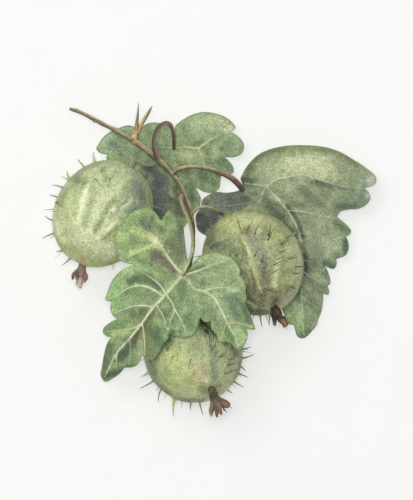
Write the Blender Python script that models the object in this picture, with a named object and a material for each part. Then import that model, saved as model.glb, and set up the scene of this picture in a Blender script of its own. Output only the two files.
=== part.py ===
"""A cut sprig of gooseberry lying on a surface: a twig, three lobed leaves, three bristly fruits.

Every length below is in millimetres, seen from above: X to the right, Y away, Z up from the
surface. Meshes are made in metres.
"""

import math
import random

import bmesh
import bpy
import numpy as np
from mathutils import Vector
from mathutils.bvhtree import BVHTree
from mathutils.geometry import delaunay_2d_cdt

MM = 0.001
GAP = 0.25  # clear space where two pieces meet
MIDDLE = (-1.6, 0.3)  # middle of the whole sprig, which becomes the origin
CURVE_STEPS = 12  # stops along each stretch of a smooth curve

# Fruits: slightly long balls with faint ridges; "blossom" points at the dried flower.
FRUIT_RIDGES = 10
RIDGE_HEIGHT = 0.008  # share of the radius
FRUIT_SEGMENTS = 30
FRUIT_ROWS = 15
FRUITS = {
    "left": {
        "centre": (-28.2, 11.75, 11.65), "blossom": (-0.53, -0.848, 0.0),
        "radius": 11.9, "half_length": 14.05,
    },
    "right": {
        "centre": (9.3, -0.55, 13.6), "blossom": (0.50, -0.80, 0.33),
        "radius": 12.35, "half_length": 13.75,
    },
    "bottom": {
        "centre": (-5.54, -22.91, 12.28), "blossom": (0.32, -0.72, 0.62),
        "radius": 12.35, "half_length": 13.0,
    },
}

# Bristles: a root on the rim as a compass angle in degrees, then the tip (x, y).
BRISTLE_RADIUS = 0.24
BRISTLE_SINK = 0.6
BRISTLES_PER_FRUIT = 54
BRISTLE_LENGTHS = (1.6, 3.4)
BRISTLE_LEAN = 0.35  # how far a bristle leans to the blossom end
BARE_POLE = 0.95  # share of the way to an end of the fruit past which no bristle grows
RIM_BAND = 0.12  # share of the height, each side of the rim, left to the rim's own bristles
TIP_WANDER = 0.4  # how far a rim bristle's tip is off the rim's height
LOWEST_TIP = 0.1
LOWEST_ROOT = 0.8
CLEAR_SHARES = (0.35, 0.55, 0.7, 0.85, 1.0, 1.15)  # places on a bristle that are tested
CLEARANCE = 1.6 * GAP
RIM_BRISTLES = {
    "left": [
        (112, (-34.6, 25.3)), (99, (-30.6, 27.2)), (134, (-37.2, 22.4)), (147, (-40.9, 18.9)),
        (160, (-41.6, 16.4)), (188, (-42.7, 11.2)), (202, (-43.4, 5.5)), (222, (-39.9, 2.2)),
        (234, (-38.4, -1.2)),
    ],
    "right": [
        (10, (22.4, 1.8)), (-4, (22.6, -1.8)), (20, (22.3, 4.4)), (-24, (21.8, -6.8)),
        (35, (20.8, 8.4)), (-82, (11.6, -16.6)), (-72, (13.4, -15.9)), (55, (17.0, 11.2)),
    ],
    "bottom": [
        (-131, (-14.3, -35.3)), (-112, (-10.5, -39.0)), (-93, (-6.3, -37.4)),
        (-83, (-3.1, -38.6)), (-155, (-18.6, -29.1)), (-144, (-18.9, -32.0)),
        (-48, (4.2, -33.2)), (-36, (7.0, -31.7)), (-25, (8.2, -29.3)), (-17, (7.5, -27.7)),
        (-7, (9.6, -23.4)), (3, (8.7, -21.6)),
    ],
}

# Dried flowers: x, y, z and half width of each point that a shrivelled strand bends through.
SEPAL_FLATNESS = 0.5
CALYX_NECK = 0.95
NECK_STOPS = [(-0.8, 1.0), (0.6, 1.0), (1.8, 1.05), (2.8, 0.8)]  # way out, share of its radius
NECK_SIDES = 7
SEPAL_SIDES = 5
SEPAL_STEP = 1.5
SEPAL_SINK = 0.75  # share of its first stretch that a strand starts inside the neck
CALYX_STRANDS = {
    "left": [
        [(-34.4, -2.4, 12.6, 0.36), (-35.2, -2.9, 12.9, 0.38), (-35.7, -3.6, 12.8, 0.34),
         (-35.8, -4.5, 12.4, 0.24)],
        [(-34.6, -3.0, 13.0, 0.30), (-35.0, -3.7, 13.1, 0.26), (-34.8, -4.3, 12.9, 0.18)],
        [(-34.2, -2.8, 12.2, 0.62), (-34.3, -4.4, 12.1, 0.64), (-34.7, -5.9, 12.0, 0.34)],
        [(-33.7, -3.0, 12.5, 0.52), (-33.9, -5.0, 12.4, 0.52), (-34.4, -6.6, 12.2, 0.26)],
        [(-33.4, -3.2, 11.8, 0.50), (-33.5, -5.2, 11.8, 0.46), (-33.8, -6.9, 11.9, 0.24)],
        [(-32.9, -2.9, 12.4, 0.50), (-32.4, -3.9, 12.5, 0.58), (-32.6, -5.0, 12.4, 0.44),
         (-33.0, -5.5, 12.2, 0.24)],
    ],
    "right": [
        [(14.4, -12.6, 19.2, 0.70), (14.7, -14.4, 19.4, 0.62), (14.8, -16.2, 19.2, 0.42)],
        [(15.4, -12.8, 19.6, 0.72), (16.4, -14.6, 19.9, 0.86), (17.6, -16.5, 19.8, 0.70)],
        [(15.8, -12.2, 20.1, 0.42), (16.3, -13.2, 20.4, 0.36), (16.4, -14.1, 20.4, 0.22)],
        [(14.1, -12.2, 20.0, 0.42), (13.9, -13.2, 20.4, 0.32), (14.0, -14.1, 20.5, 0.20)],
    ],
    "bottom": [
        [(-0.9, -34.0, 21.9, 0.62), (-0.8, -36.2, 21.6, 0.56), (-1.1, -37.9, 21.2, 0.62),
         (-1.1, -38.7, 21.0, 0.44)],
        [(-0.2, -34.4, 22.2, 0.62), (0.2, -36.8, 21.8, 0.60), (0.4, -39.1, 21.3, 0.28)],
        [(0.3, -34.8, 22.4, 0.56), (0.9, -36.8, 22.2, 0.64), (1.4, -38.4, 21.9, 0.44)],
        [(0.5, -34.4, 22.7, 0.28), (1.6, -36.2, 22.8, 0.26), (2.4, -37.5, 22.6, 0.16)],
        [(0.7, -34.2, 22.6, 0.46), (1.9, -35.2, 22.8, 0.66), (3.0, -36.1, 22.7, 0.86),
         (3.4, -36.4, 22.6, 0.66)],
    ],
}

# Stems: x, y, z and radius of each point that the stem bends through.
STEM_SIDES = 8
STEM_STEP = 1.5
TWIG_STEP = 1.7
THORN_SIDES = 6
THORN_STEP = 1.6
THORN_FLATNESS = 0.8
BUD_STEP = 0.6
TWIG = [
    (-36.5, 38.0, 10.2, 0.40), (-34.6, 37.4, 10.8, 0.46), (-32.0, 36.2, 11.6, 0.50),
    (-30.0, 35.1, 12.2, 0.52), (-27.5, 33.8, 13.0, 0.52), (-25.0, 32.5, 13.8, 0.54),
    (-22.5, 31.1, 14.6, 0.56), (-20.0, 29.6, 15.4, 0.60), (-18.0, 28.2, 16.0, 0.64),
    (-16.0, 26.6, 16.6, 0.72), (-14.3, 25.1, 17.1, 0.82), (-12.6, 23.4, 17.6, 0.68),
    (-10.8, 21.4, 18.2, 0.64), (-9.3, 19.4, 18.7, 0.62), (-8.1, 16.8, 19.2, 0.62),
    (-7.0, 14.2, 19.6, 0.60), (-6.2, 11.8, 20.0, 0.56), (-5.7, 9.4, 20.2, 0.52),
]
THORN_PRONGS = [
    [(-20.0, 29.8, 14.9, 0.80), (-20.1, 30.7, 15.4, 0.96), (-20.0, 31.8, 15.8, 0.82),
     (-19.8, 33.2, 16.3, 0.60), (-19.6, 35.0, 16.8, 0.43), (-19.4, 37.2, 17.3, 0.28),
     (-19.2, 39.8, 17.8, 0.06)],
    [(-19.7, 31.4, 15.6, 0.66), (-19.0, 33.0, 16.0, 0.58), (-18.2, 34.6, 16.2, 0.52),
     (-17.0, 36.6, 16.4, 0.44), (-16.3, 37.8, 16.5, 0.29), (-15.7, 38.7, 16.5, 0.07)],
]
BUD = [(-30.0, 35.3, 12.2, 0.50), (-30.2, 34.8, 12.3, 0.36), (-30.4, 34.4, 12.3, 0.12)]
STEMS = {
    "petiole_top": [
        (-14.2, 25.1, 17.1, 0.74), (-14.9, 26.8, 18.2, 0.70), (-15.3, 28.5, 19.0, 0.56),
        (-15.3, 30.3, 19.8, 0.50), (-14.8, 32.1, 20.2, 0.49), (-13.8, 33.6, 20.2, 0.49),
        (-12.5, 34.3, 19.4, 0.50), (-11.3, 33.9, 17.8, 0.49), (-10.65, 32.5, 15.0, 0.46),
        (-10.35, 30.6, 11.5, 0.43), (-10.4, 28.8, 8.2, 0.42), (-10.4, 28.0, 6.2, 0.44),
    ],
    "petiole_right": [
        (-10.7, 21.3, 18.3, 0.46), (-9.9, 22.3, 19.4, 0.48), (-8.3, 23.1, 20.0, 0.48),
        (-6.2, 23.4, 20.1, 0.48), (-3.4, 23.2, 19.6, 0.50), (-0.4, 22.5, 18.2, 0.56),
        (2.0, 21.6, 16.5, 0.64), (4.0, 20.6, 14.8, 0.74), (5.4, 19.4, 13.1, 0.78),
        (6.2, 18.4, 11.9, 0.72), (6.8, 17.6, 11.0, 0.60),
    ],
    "petiole_front": [
        (-8.2, 16.4, 19.2, 0.52), (-8.4, 15.2, 20.6, 0.50), (-8.0, 13.6, 21.3, 0.50),
        (-7.0, 11.2, 21.9, 0.50), (-6.1, 8.4, 22.4, 0.50), (-5.6, 5.4, 23.3, 0.50),
        (-5.7, 2.5, 25.0, 0.50), (-6.3, 0.4, 26.7, 0.52), (-6.9, -1.0, 27.5, 0.54),
        (-7.6, -2.4, 27.7, 0.54), (-8.2, -3.6, 26.7, 0.52),
    ],
    "fruit_stalk_left": [
        (-14.4, 25.1, 17.0, 0.45), (-15.6, 24.0, 15.6, 0.45), (-17.5, 23.9, 14.2, 0.45),
        (-18.9, 24.6, 13.1, 0.47), (-19.9, 24.7, 12.5, 0.50), (-21.0, 23.0, 12.1, 0.52),
    ],
    "fruit_stalk_right": [
        (-6.1, 11.2, 20.0, 0.42), (-5.4, 12.2, 20.8, 0.42), (-4.3, 13.1, 21.3, 0.43),
        (-2.9, 13.4, 21.2, 0.44), (-1.4, 13.1, 20.0, 0.44), (-0.1, 12.5, 17.6, 0.45),
        (0.7, 12.1, 14.6, 0.45), (1.1, 12.0, 11.0, 0.46), (1.8, 11.7, 8.7, 0.50),
        (3.4, 9.9, 8.4, 0.52),
    ],
    "fruit_stalk_bottom": [
        (-5.8, 10.0, 20.1, 0.45), (-5.5, 8.0, 19.0, 0.42), (-5.6, 5.0, 18.4, 0.42),
        (-6.0, 1.0, 18.0, 0.42), (-7.0, -3.5, 16.4, 0.42), (-8.6, -6.5, 12.5, 0.42),
        (-9.9, -9.2, 7.5, 0.43), (-10.5, -11.3, 4.4, 0.46), (-10.3, -12.8, 3.6, 0.50),
        (-9.4, -14.2, 4.6, 0.52),
    ],
}

# Leaves. "margin": runs of edge points going round once; a run starts in a notch or at a sharp
# place and ends where the next begins. "veins": points along each vein with their heights.
# "pins": edge and blade points with heights that the blade passes through.
BLADE_THICKNESS = 0.7
BLADE_SPACING = 2.3
EDGE_SPACING = 1.7
QUILT_HEIGHT = 0.45  # the blade swells this much between its veins
QUILT_WIDTH = 1.7
VEIN_STEP = 0.4
GRID_CLEARANCE = 0.62  # share of the spacing that a blade's inner points keep off its lines
PLATE_EASE = 0.05  # how loosely a blade passes its pins
SLOPE_REACH = 0.2
LEAVES = {
    "front": {
        "margin": [
            [(-6.9, -2.2), (-7.0, 0.0), (-7.4, 3.0), (-7.8, 6.5), (-8.2, 8.8), (-9.5, 10.3),
             (-11.6, 12.5)],
            [(-13.7, 10.0), (-15.0, 12.0), (-17.0, 13.2), (-20.5, 12.3), (-23.0, 10.0),
             (-24.6, 7.6), (-25.1, 5.0), (-24.6, 2.0)],
            [(-24.0, 0.0), (-22.5, -0.6), (-20.6, -1.0)],
            [(-20.4, -1.1), (-23.5, -2.5), (-25.8, -5.0), (-27.0, -8.0), (-27.5, -9.8)],
            [(-26.0, -10.3), (-26.3, -12.0), (-25.8, -13.5)],
            [(-24.6, -14.6), (-26.2, -15.4), (-28.0, -16.9), (-28.1, -18.1), (-27.1, -19.0)],
            [(-26.1, -19.2), (-27.0, -20.5), (-27.8, -23.0), (-28.5, -27.0), (-28.8, -28.6),
             (-27.7, -30.4), (-25.2, -29.2), (-23.9, -28.2)],
            [(-22.7, -26.8), (-21.0, -26.7), (-19.7, -26.2), (-18.8, -25.0)],
            [(-18.3, -23.6), (-17.3, -24.9), (-15.5, -24.6), (-13.8, -22.5)],
            [(-12.9, -20.6), (-12.3, -20.2), (-11.7, -19.2)],
            [(-11.5, -18.1), (-10.5, -18.8), (-8.0, -19.1), (-6.0, -18.7), (-5.0, -17.8),
             (-4.6, -17.0)],
            [(-3.8, -14.2), (-2.9, -15.2), (-1.9, -15.4), (-1.3, -15.0)],
            [(-1.2, -15.6), (-1.1, -17.0), (-0.4, -17.8), (0.4, -18.8)],
            [(0.6, -20.2), (2.0, -20.3), (3.6, -20.6), (5.3, -22.3), (6.2, -22.7),
             (7.3, -21.0), (7.9, -19.5), (8.0, -18.0)],
            [(7.7, -17.1), (8.7, -17.2), (9.9, -17.2), (9.5, -15.8), (8.9, -14.0),
             (8.2, -12.2)],
            [(7.4, -10.5), (7.8, -9.2), (7.5, -8.0), (7.6, -6.5), (6.9, -4.6)],
            [(6.1, -3.5), (6.1, -2.2), (5.0, -0.4), (3.0, 1.2), (0.5, 2.0), (-2.0, 1.8),
             (-4.0, 1.0), (-5.4, -0.3), (-6.3, -1.7)],
        ],
        "veins": [
            [(-8.2, -3.6, 26.5), (-12.3, -8.3, 26.5), (-15.8, -12.0, 25.5),
             (-18.5, -15.8, 23.0), (-21.5, -19.5, 19.5), (-24.6, -23.0, 15.0),
             (-26.5, -26.5, 11.0), (-27.7, -29.2, 7.8)],
            [(-8.2, -3.6, 26.5), (-10.5, -1.0, 26.2), (-12.5, 2.0, 25.6), (-14.3, 4.5, 25.0),
             (-16.0, 6.5, 24.7), (-19.5, 8.0, 24.0), (-22.6, 8.4, 23.2)],
            [(-14.3, 4.5, 25.0), (-17.0, 3.3, 24.6), (-19.5, 2.0, 24.0), (-22.2, 0.6, 22.8)],
            [(-13.4, 3.3, 25.3), (-12.2, 6.5, 24.6), (-11.7, 11.3, 22.7)],
            [(-8.2, -3.6, 26.5), (-5.5, -2.9, 26.9), (-2.5, -1.8, 27.1), (-0.3, -0.8, 27.0),
             (3.6, 0.2, 26.6)],
            [(-8.2, -3.6, 26.5), (-6.5, -5.5, 26.8), (-5.0, -7.2, 27.0), (-3.2, -7.6, 27.0),
             (-0.5, -9.2, 27.0), (1.5, -12.5, 26.2), (2.9, -15.5, 25.0), (4.3, -18.0, 23.3),
             (5.8, -21.6, 20.5)],
            [(-3.2, -7.6, 27.0), (0.0, -6.8, 27.0), (3.0, -6.8, 26.8), (6.4, -7.8, 25.6)],
            [(2.9, -15.5, 25.0), (6.0, -15.6, 23.2), (9.2, -16.7, 20.8)],
            [(2.7, -15.5, 25.0), (2.0, -17.5, 24.4), (1.6, -19.6, 23.8)],
            [(-12.3, -8.3, 26.5), (-10.3, -12.0, 26.0), (-11.2, -15.0, 25.3),
             (-11.8, -17.6, 24.4)],
            [(-10.3, -12.0, 26.0), (-8.5, -15.0, 25.5), (-7.2, -18.2, 24.8)],
            [(-12.3, -8.3, 26.5), (-14.0, -6.0, 25.8), (-16.5, -4.0, 24.8),
             (-19.8, -2.2, 23.2)],
            [(-12.9, -8.9, 26.4), (-16.0, -7.0, 25.3), (-19.0, -6.2, 23.8),
             (-22.0, -7.0, 21.8), (-25.0, -9.0, 18.9), (-26.9, -9.7, 17.3)],
            [(-15.4, -11.6, 25.6), (-18.0, -11.2, 24.2), (-21.0, -11.5, 21.8),
             (-25.3, -13.2, 17.4)],
            [(-18.3, -15.5, 23.2), (-21.0, -17.0, 20.2), (-24.0, -17.4, 16.8),
             (-27.6, -17.9, 13.1)],
            [(-14.8, -11.0, 25.8), (-13.0, -14.0, 25.3), (-12.1, -17.2, 24.6)],
            [(-18.3, -15.5, 23.2), (-17.8, -19.0, 22.5), (-17.6, -23.6, 20.8)],
            [(-21.5, -19.5, 19.5), (-21.3, -22.0, 17.8), (-21.6, -25.9, 15.0)],
            [(-24.6, -23.0, 15.0), (-24.8, -25.6, 12.8), (-24.6, -27.8, 11.2)],
        ],
        "pins": [
            (-24.0, 0.0, 22.2), (-25.8, -5.0, 19.2), (-11.6, 12.5, 22.2), (-7.4, 3.0, 24.6),
            (-8.2, 8.8, 23.2), (-25.0, 5.0, 23.0), (-20.5, 12.3, 22.2), (-17.0, 13.2, 22.4),
            (-4.0, 1.0, 26.4), (0.5, 2.0, 25.8), (5.0, -0.4, 26.0), (7.7, -7.0, 24.8),
            (7.8, -10.4, 24.4), (8.9, -14.0, 22.0), (7.9, -18.5, 20.0), (0.5, -19.8, 23.5),
            (-5.0, -17.8, 24.8), (-15.5, -24.6, 20.6), (-28.5, -27.0, 9.8),
            (-20.4, -1.2, 23.6), (-3.8, -14.4, 25.8),
        ],
    },
    "right": {
        "margin": [
            [(6.2, 20.5), (6.7, 21.6), (7.6, 23.2), (9.0, 25.0), (11.0, 26.7), (14.0, 28.0), (18.2, 28.8),
             (22.0, 28.9), (27.0, 28.5), (31.0, 27.3), (35.0, 25.0), (38.0, 23.0),
             (40.0, 21.2), (40.3, 19.8), (39.3, 18.7)],
            [(37.3, 18.2), (38.4, 17.0), (38.8, 15.5), (37.8, 14.0), (36.0, 13.0),
             (33.0, 12.7), (31.3, 12.2)],
            [(30.4, 11.0), (31.6, 10.0), (33.0, 8.8), (34.0, 7.5), (33.8, 6.7)],
            [(32.8, 6.0), (33.4, 4.2), (33.3, 2.5), (32.5, 1.2), (31.0, 0.6)],
            [(30.3, 0.3), (30.4, -1.0), (29.7, -2.1), (28.5, -1.9)],
            [(27.4, -1.3), (28.3, -3.0), (28.8, -5.8)],
            [(28.1, -6.4), (28.5, -7.5), (28.3, -8.6)],
            [(27.0, -8.4), (27.0, -10.0), (26.5, -13.0)],
            [(25.8, -14.8), (25.4, -16.2), (24.3, -17.6), (23.0, -19.0), (21.8, -19.6),
             (20.5, -19.0), (20.0, -17.5)],
            [(19.6, -16.2), (18.5, -16.0), (17.7, -15.3), (17.3, -13.8), (15.9, -10.4),
             (15.0, -5.0), (12.8, -1.0)],
            [(10.0, 3.0), (7.0, 2.6), (3.0, 4.0), (0.0, 5.0), (-2.2, 6.1), (-4.4, 7.6),
             (-5.0, 10.0), (-4.9, 11.5)],
            [(-3.7, 13.2), (-3.3, 15.3), (-2.0, 16.3), (0.0, 17.2), (2.5, 17.0), (5.0, 17.3),
             (6.4, 18.0), (6.6, 19.2)],
        ],
        "veins": [
            [(7.4, 19.3, 11.6), (10.0, 19.0, 11.5), (12.6, 18.7, 11.5), (15.0, 20.2, 12.8),
             (18.5, 21.0, 14.0), (21.5, 21.5, 14.6), (25.5, 20.4, 14.4), (30.0, 19.0, 12.5),
             (34.0, 18.2, 10.6), (37.0, 18.1, 9.0)],
            [(24.0, 20.9, 14.5), (25.5, 17.5, 12.2), (27.2, 14.2, 9.2)],
            [(18.5, 21.0, 14.0), (20.5, 24.0, 11.5), (24.0, 27.4, 7.6)],
            [(12.6, 18.7, 11.5), (13.4, 22.5, 10.0), (15.5, 27.0, 6.8)],
            [(28.0, 19.7, 13.4), (31.0, 22.5, 10.5), (34.4, 24.4, 7.2)],
            [(12.6, 18.7, 11.5), (15.0, 16.0, 10.6), (17.0, 13.7, 9.5), (19.0, 11.0, 7.8),
             (20.5, 8.0, 6.2), (21.5, 4.5, 4.6), (22.0, 0.0, 3.4), (22.0, -4.0, 2.9),
             (21.6, -8.0, 2.5), (21.8, -13.0, 2.0), (22.2, -18.6, 1.5)],
            [(17.9, 12.6, 8.8), (22.0, 12.2, 8.2), (26.0, 11.3, 7.3), (29.8, 10.2, 6.4)],
            [(20.9, 6.8, 5.6), (25.0, 6.4, 5.2), (29.0, 4.6, 4.2), (32.2, 4.0, 3.4)],
            [(22.0, -2.8, 3.0), (24.5, -4.5, 2.6), (27.5, -6.2, 2.0)],
            [(21.7, -9.0, 2.4), (24.6, -11.3, 2.0), (26.3, -13.4, 1.7)],
            [(21.6, -11.0, 2.2), (19.5, -12.8, 1.8), (18.4, -14.4, 1.4)],
            [(12.6, 18.7, 11.5), (11.6, 16.0, 9.6), (9.0, 11.0, 6.2), (5.0, 7.5, 2.8)],
            [(12.2, 17.4, 10.6), (8.5, 14.6, 8.6), (4.0, 13.8, 7.0), (-0.5, 13.8, 5.6),
             (-3.2, 14.6, 5.4)],
            [(4.0, 13.8, 7.0), (1.0, 11.4, 5.2), (-3.0, 9.8, 4.2)],
        ],
        "pins": [
            (11.0, 26.7, 6.0), (18.0, 28.7, 6.5), (27.0, 28.5, 7.0), (35.0, 25.0, 6.5),
            (40.0, 20.5, 5.5), (33.0, 12.7, 6.2), (38.8, 15.5, 5.6), (34.0, 7.5, 3.6),
            (33.3, 2.6, 3.0), (30.0, -1.0, 2.2), (28.4, -7.5, 2.0), (21.8, -19.6, 1.4),
            (15.6, -6.0, 0.4), (12.8, -1.0, 0.0), (17.0, -1.0, 0.2), (18.6, 3.0, 1.4),
            (10.5, 4.0, 0.2), (14.0, 3.6, 0.6), (14.0, 9.6, 5.0), (3.0, 4.0, 0.9),
            (-2.5, 7.0, 3.0), (0.0, 17.2, 5.6), (5.0, 16.9, 8.4), (-3.3, 15.3, 5.4),
            (7.6, 22.5, 9.6), (18.4, -13.0, 0.9),
        ],
    },
    "top": {
        "margin": [
            [(-10.9, 33.2), (-12.0, 34.0), (-14.0, 34.5), (-16.0, 34.6), (-17.6, 34.1)],
            [(-19.0, 32.8), (-20.5, 33.6), (-22.0, 33.9), (-23.6, 33.5)],
            [(-25.0, 32.8), (-26.6, 32.2), (-28.1, 31.0), (-29.3, 29.3), (-29.9, 28.0),
             (-29.0, 27.0)],
            [(-27.1, 26.5), (-27.4, 25.5), (-25.2, 22.8), (-22.4, 21.0), (-19.8, 20.4)],
            [(-18.6, 19.6), (-18.7, 16.4), (-18.2, 13.0), (-17.0, 10.2), (-15.6, 8.3),
             (-13.8, 7.6), (-12.6, 8.4)],
            [(-11.8, 9.4), (-10.8, 8.2), (-9.4, 7.6), (-8.0, 8.2), (-6.4, 10.8), (-5.2, 12.8),
             (-4.0, 13.8), (-3.7, 15.6), (-4.3, 17.0)],
            [(-5.0, 18.3), (-4.2, 17.9), (-2.5, 17.1), (-0.7, 17.0), (0.8, 17.9),
             (1.2, 19.6)],
            [(1.4, 21.2), (3.4, 21.4), (4.5, 22.2), (4.3, 23.7), (3.3, 25.0)],
            [(2.3, 25.9), (4.5, 25.9), (6.3, 26.6), (7.1, 28.0), (7.0, 29.4), (5.8, 31.0)],
            [(3.9, 32.3), (5.0, 33.3), (3.8, 35.0), (2.0, 36.2), (-1.0, 37.1), (-3.5, 37.2),
             (-6.0, 36.5), (-8.5, 35.1), (-10.1, 33.6)],
            [(-10.2, 31.5), (-10.3, 29.2)],
            [(-10.6, 29.2), (-10.8, 31.5)],
        ],
        "veins": [
            [(-10.4, 28.2, 6.2), (-7.0, 28.4, 6.4), (-4.4, 28.2, 6.4), (-2.0, 29.8, 6.0),
             (0.5, 31.2, 5.4), (4.0, 33.2, 3.7)],
            [(-4.4, 28.2, 6.4), (-3.5, 26.3, 6.0), (-3.0, 24.5, 5.4), (-1.5, 21.0, 4.0),
             (-1.0, 17.6, 2.8)],
            [(-3.2, 25.9, 5.9), (0.0, 25.6, 5.0), (3.8, 23.4, 3.4)],
            [(-2.6, 29.3, 6.1), (1.5, 28.6, 5.0), (6.4, 28.0, 3.4)],
            [(-8.6, 28.3, 6.3), (-6.5, 31.5, 5.6), (-4.8, 35.9, 4.2)],
            [(-1.2, 30.3, 5.8), (-1.4, 33.5, 5.0), (-0.6, 36.5, 4.0)],
            [(-10.4, 28.2, 6.2), (-14.0, 28.4, 5.6), (-18.0, 28.6, 4.8), (-23.0, 28.8, 4.0),
             (-29.0, 28.6, 3.2)],
            [(-12.6, 28.3, 5.9), (-14.4, 31.0, 5.2), (-15.6, 34.0, 4.2)],
            [(-18.0, 28.6, 4.8), (-20.4, 31.0, 4.3), (-21.8, 33.4, 3.7)],
            [(-10.4, 28.2, 6.2), (-11.4, 24.0, 5.4), (-12.6, 19.0, 4.0), (-13.8, 13.6, 2.4),
             (-14.4, 9.4, 1.5)],
            [(-10.8, 26.4, 5.9), (-9.2, 21.5, 4.8), (-8.2, 16.0, 3.4), (-7.9, 10.0, 2.0)],
            [(-9.1, 21.2, 4.7), (-6.6, 18.6, 3.9), (-4.6, 15.4, 2.8)],
            [(-12.4, 24.6, 5.3), (-15.5, 22.4, 4.3), (-18.6, 21.0, 2.8)],
        ],
        "pins": [
            (-14.0, 34.5, 4.2), (-20.5, 33.6, 3.8), (-29.9, 28.0, 3.0), (-27.4, 25.5, 2.6),
            (-25.0, 23.0, 1.8), (-22.0, 21.0, 1.8), (-18.6, 19.6, 2.2), (-18.4, 15.0, 1.6),
            (-17.0, 10.2, 1.2), (-14.0, 8.0, 1.2), (-8.0, 8.4, 1.6), (-3.7, 15.6, 2.4),
            (1.2, 19.6, 2.8),
            (-8.5, 35.1, 4.4), (4.5, 22.2, 3.0), (7.1, 28.0, 3.2), (5.0, 33.3, 3.4),
            (-10.4, 33.4, 5.0), (2.3, 25.9, 4.4), (-3.5, 37.2, 3.8),
        ],
    },
}

COLOURS = {
    "bark": ((0.30, 0.25, 0.15), 0.80),
    "petiole": ((0.33, 0.37, 0.17), 0.70),
    "leaf": ((0.25, 0.36, 0.17), 0.65),
    "fruit": ((0.44, 0.50, 0.24), 0.45),
    "calyx": ((0.13, 0.07, 0.04), 0.85),
}


# ---------------------------------------------------------------- curves and surfaces


def smooth_path(points, step):
    """An even walk, about every `step`, along a smooth curve through the points."""
    points = np.array(points, float)
    if len(points) < 3:
        dense = points
    else:
        chords = np.diff(points, axis=0)
        spans = np.sqrt(np.linalg.norm(chords, axis=1))
        slopes = chords / spans[:, None]
        tangents = np.vstack([slopes, slopes[-1:]])
        before, after = spans[:-1, None], spans[1:, None]
        tangents[1:-1] = (slopes[:-1] * after + slopes[1:] * before) / (before + after)
        u = np.linspace(0, 1, CURVE_STEPS, endpoint=False)[:, None]
        pieces = []
        for i, span in enumerate(spans):
            start, end = points[i], points[i + 1]
            pieces.append(
                (2 * u**3 - 3 * u**2 + 1) * start
                + (u**3 - 2 * u**2 + u) * span * tangents[i]
                + (3 * u**2 - 2 * u**3) * end
                + (u**3 - u**2) * span * tangents[i + 1]
            )
        dense = np.vstack(pieces + [points[-1:]])
    steps = np.linalg.norm(np.diff(dense[:, :3], axis=0), axis=1)
    along = np.concatenate([[0.0], np.cumsum(steps)])
    count = max(2, round(along[-1] / step) + 1)
    stops = np.linspace(0, along[-1], count)
    return np.column_stack([np.interp(stops, along, column) for column in dense.T])


def thin_plate(points):
    """A smooth height over (x, y), like a bent sheet through every point (x, y, z)."""
    points = np.array(points, float)
    centres, heights = points[:, :2], points[:, 2]

    def kernel(a, b):
        squared = ((a[:, None, :] - b[None, :, :]) ** 2).sum(axis=2)
        return 0.5 * squared * np.log(squared + 1e-9)

    count = len(points)
    flat = np.column_stack([np.ones(count), centres])
    system = np.zeros((count + 3, count + 3))
    system[:count, :count] = kernel(centres, centres) + PLATE_EASE * np.eye(count)
    system[:count, count:] = flat
    system[count:, :count] = flat.T
    weights = np.linalg.solve(system, np.concatenate([heights, np.zeros(3)]))

    def height(xy):
        plane = np.column_stack([np.ones(len(xy)), xy])
        return kernel(xy, centres) @ weights[:count] + plane @ weights[count:]

    return height


def unit(vector):
    return np.array(vector, float) / np.linalg.norm(vector)


def fruit_side(fruit, xy, pad, side):
    """Height of a fruit's upper (side 1) or lower (side -1) face, thickened by `pad`."""
    axis = unit(fruit["blossom"])
    along = np.outer(axis, axis)
    form = (np.eye(3) - along) / (fruit["radius"] + pad) ** 2
    form += along / (fruit["half_length"] + pad) ** 2
    x, y = (xy - np.array(fruit["centre"][:2])).T
    a = form[2, 2]
    b = form[0, 2] * x + form[1, 2] * y
    c = form[0, 0] * x**2 + 2 * form[0, 1] * x * y + form[1, 1] * y**2 - 1
    root = b**2 - a * c
    over = root > 0
    height = np.full(len(xy), -1e3 * side)
    height[over] = fruit["centre"][2] + (side * np.sqrt(root[over]) - b[over]) / a
    return height


def soft_max(a, b, reach=1.0):
    """The higher of two heights, rounded over where they meet."""
    overlap = np.clip(reach - np.abs(a - b), 0, None) / reach
    return np.maximum(a, b) + overlap**2 * reach / 4


def blade_height(leaf, vein_paths):
    """The top of a leaf: bent over the fruits it lies on, under those that lie on it."""
    pins = [point for vein in leaf["veins"] for point in vein] + leaf["pins"]
    spots = {(x, y): z for x, y, z in pins}
    sheet = thin_plate([(x, y, z) for (x, y), z in spots.items()])
    vein_points = np.vstack(vein_paths)[:, :2]
    pad = BLADE_THICKNESS + 2 * GAP

    def height(xy):
        far = ((xy[:, None, :] - vein_points[None, :, :]) ** 2).sum(axis=2).min(axis=1)
        z = sheet(xy) + QUILT_HEIGHT * (1 - np.exp(-far / QUILT_WIDTH**2))
        for fruit in FRUITS.values():
            above = fruit_side(fruit, xy, pad, 1)
            below = fruit_side(fruit, xy, 1.5 * GAP, -1)
            middle = fruit["centre"][2]
            z = np.where(z > middle, soft_max(z, above), -soft_max(-z, -below))
        return np.maximum(z, BLADE_THICKNESS)

    return height


# ---------------------------------------------------------------- meshes


def material(name):
    colour, roughness = COLOURS[name]
    made = bpy.data.materials.new(name)
    made.use_nodes = True
    shader = made.node_tree.nodes["Principled BSDF"]
    shader.inputs["Base Color"].default_value = (*colour, 1.0)
    shader.inputs["Roughness"].default_value = roughness
    return made


def mesh_object(name, points, faces, paint, collection=None):
    """A smooth-shaded object from points in millimetres."""
    mesh = bpy.data.meshes.new(name)
    mesh.from_pydata([tuple(MM * value for value in point) for point in points], [], faces)
    mesh.materials.append(paint)
    mesh.shade_smooth()
    made = bpy.data.objects.new(name, mesh)
    (collection or bpy.context.scene.collection).objects.link(made)
    return made


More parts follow.
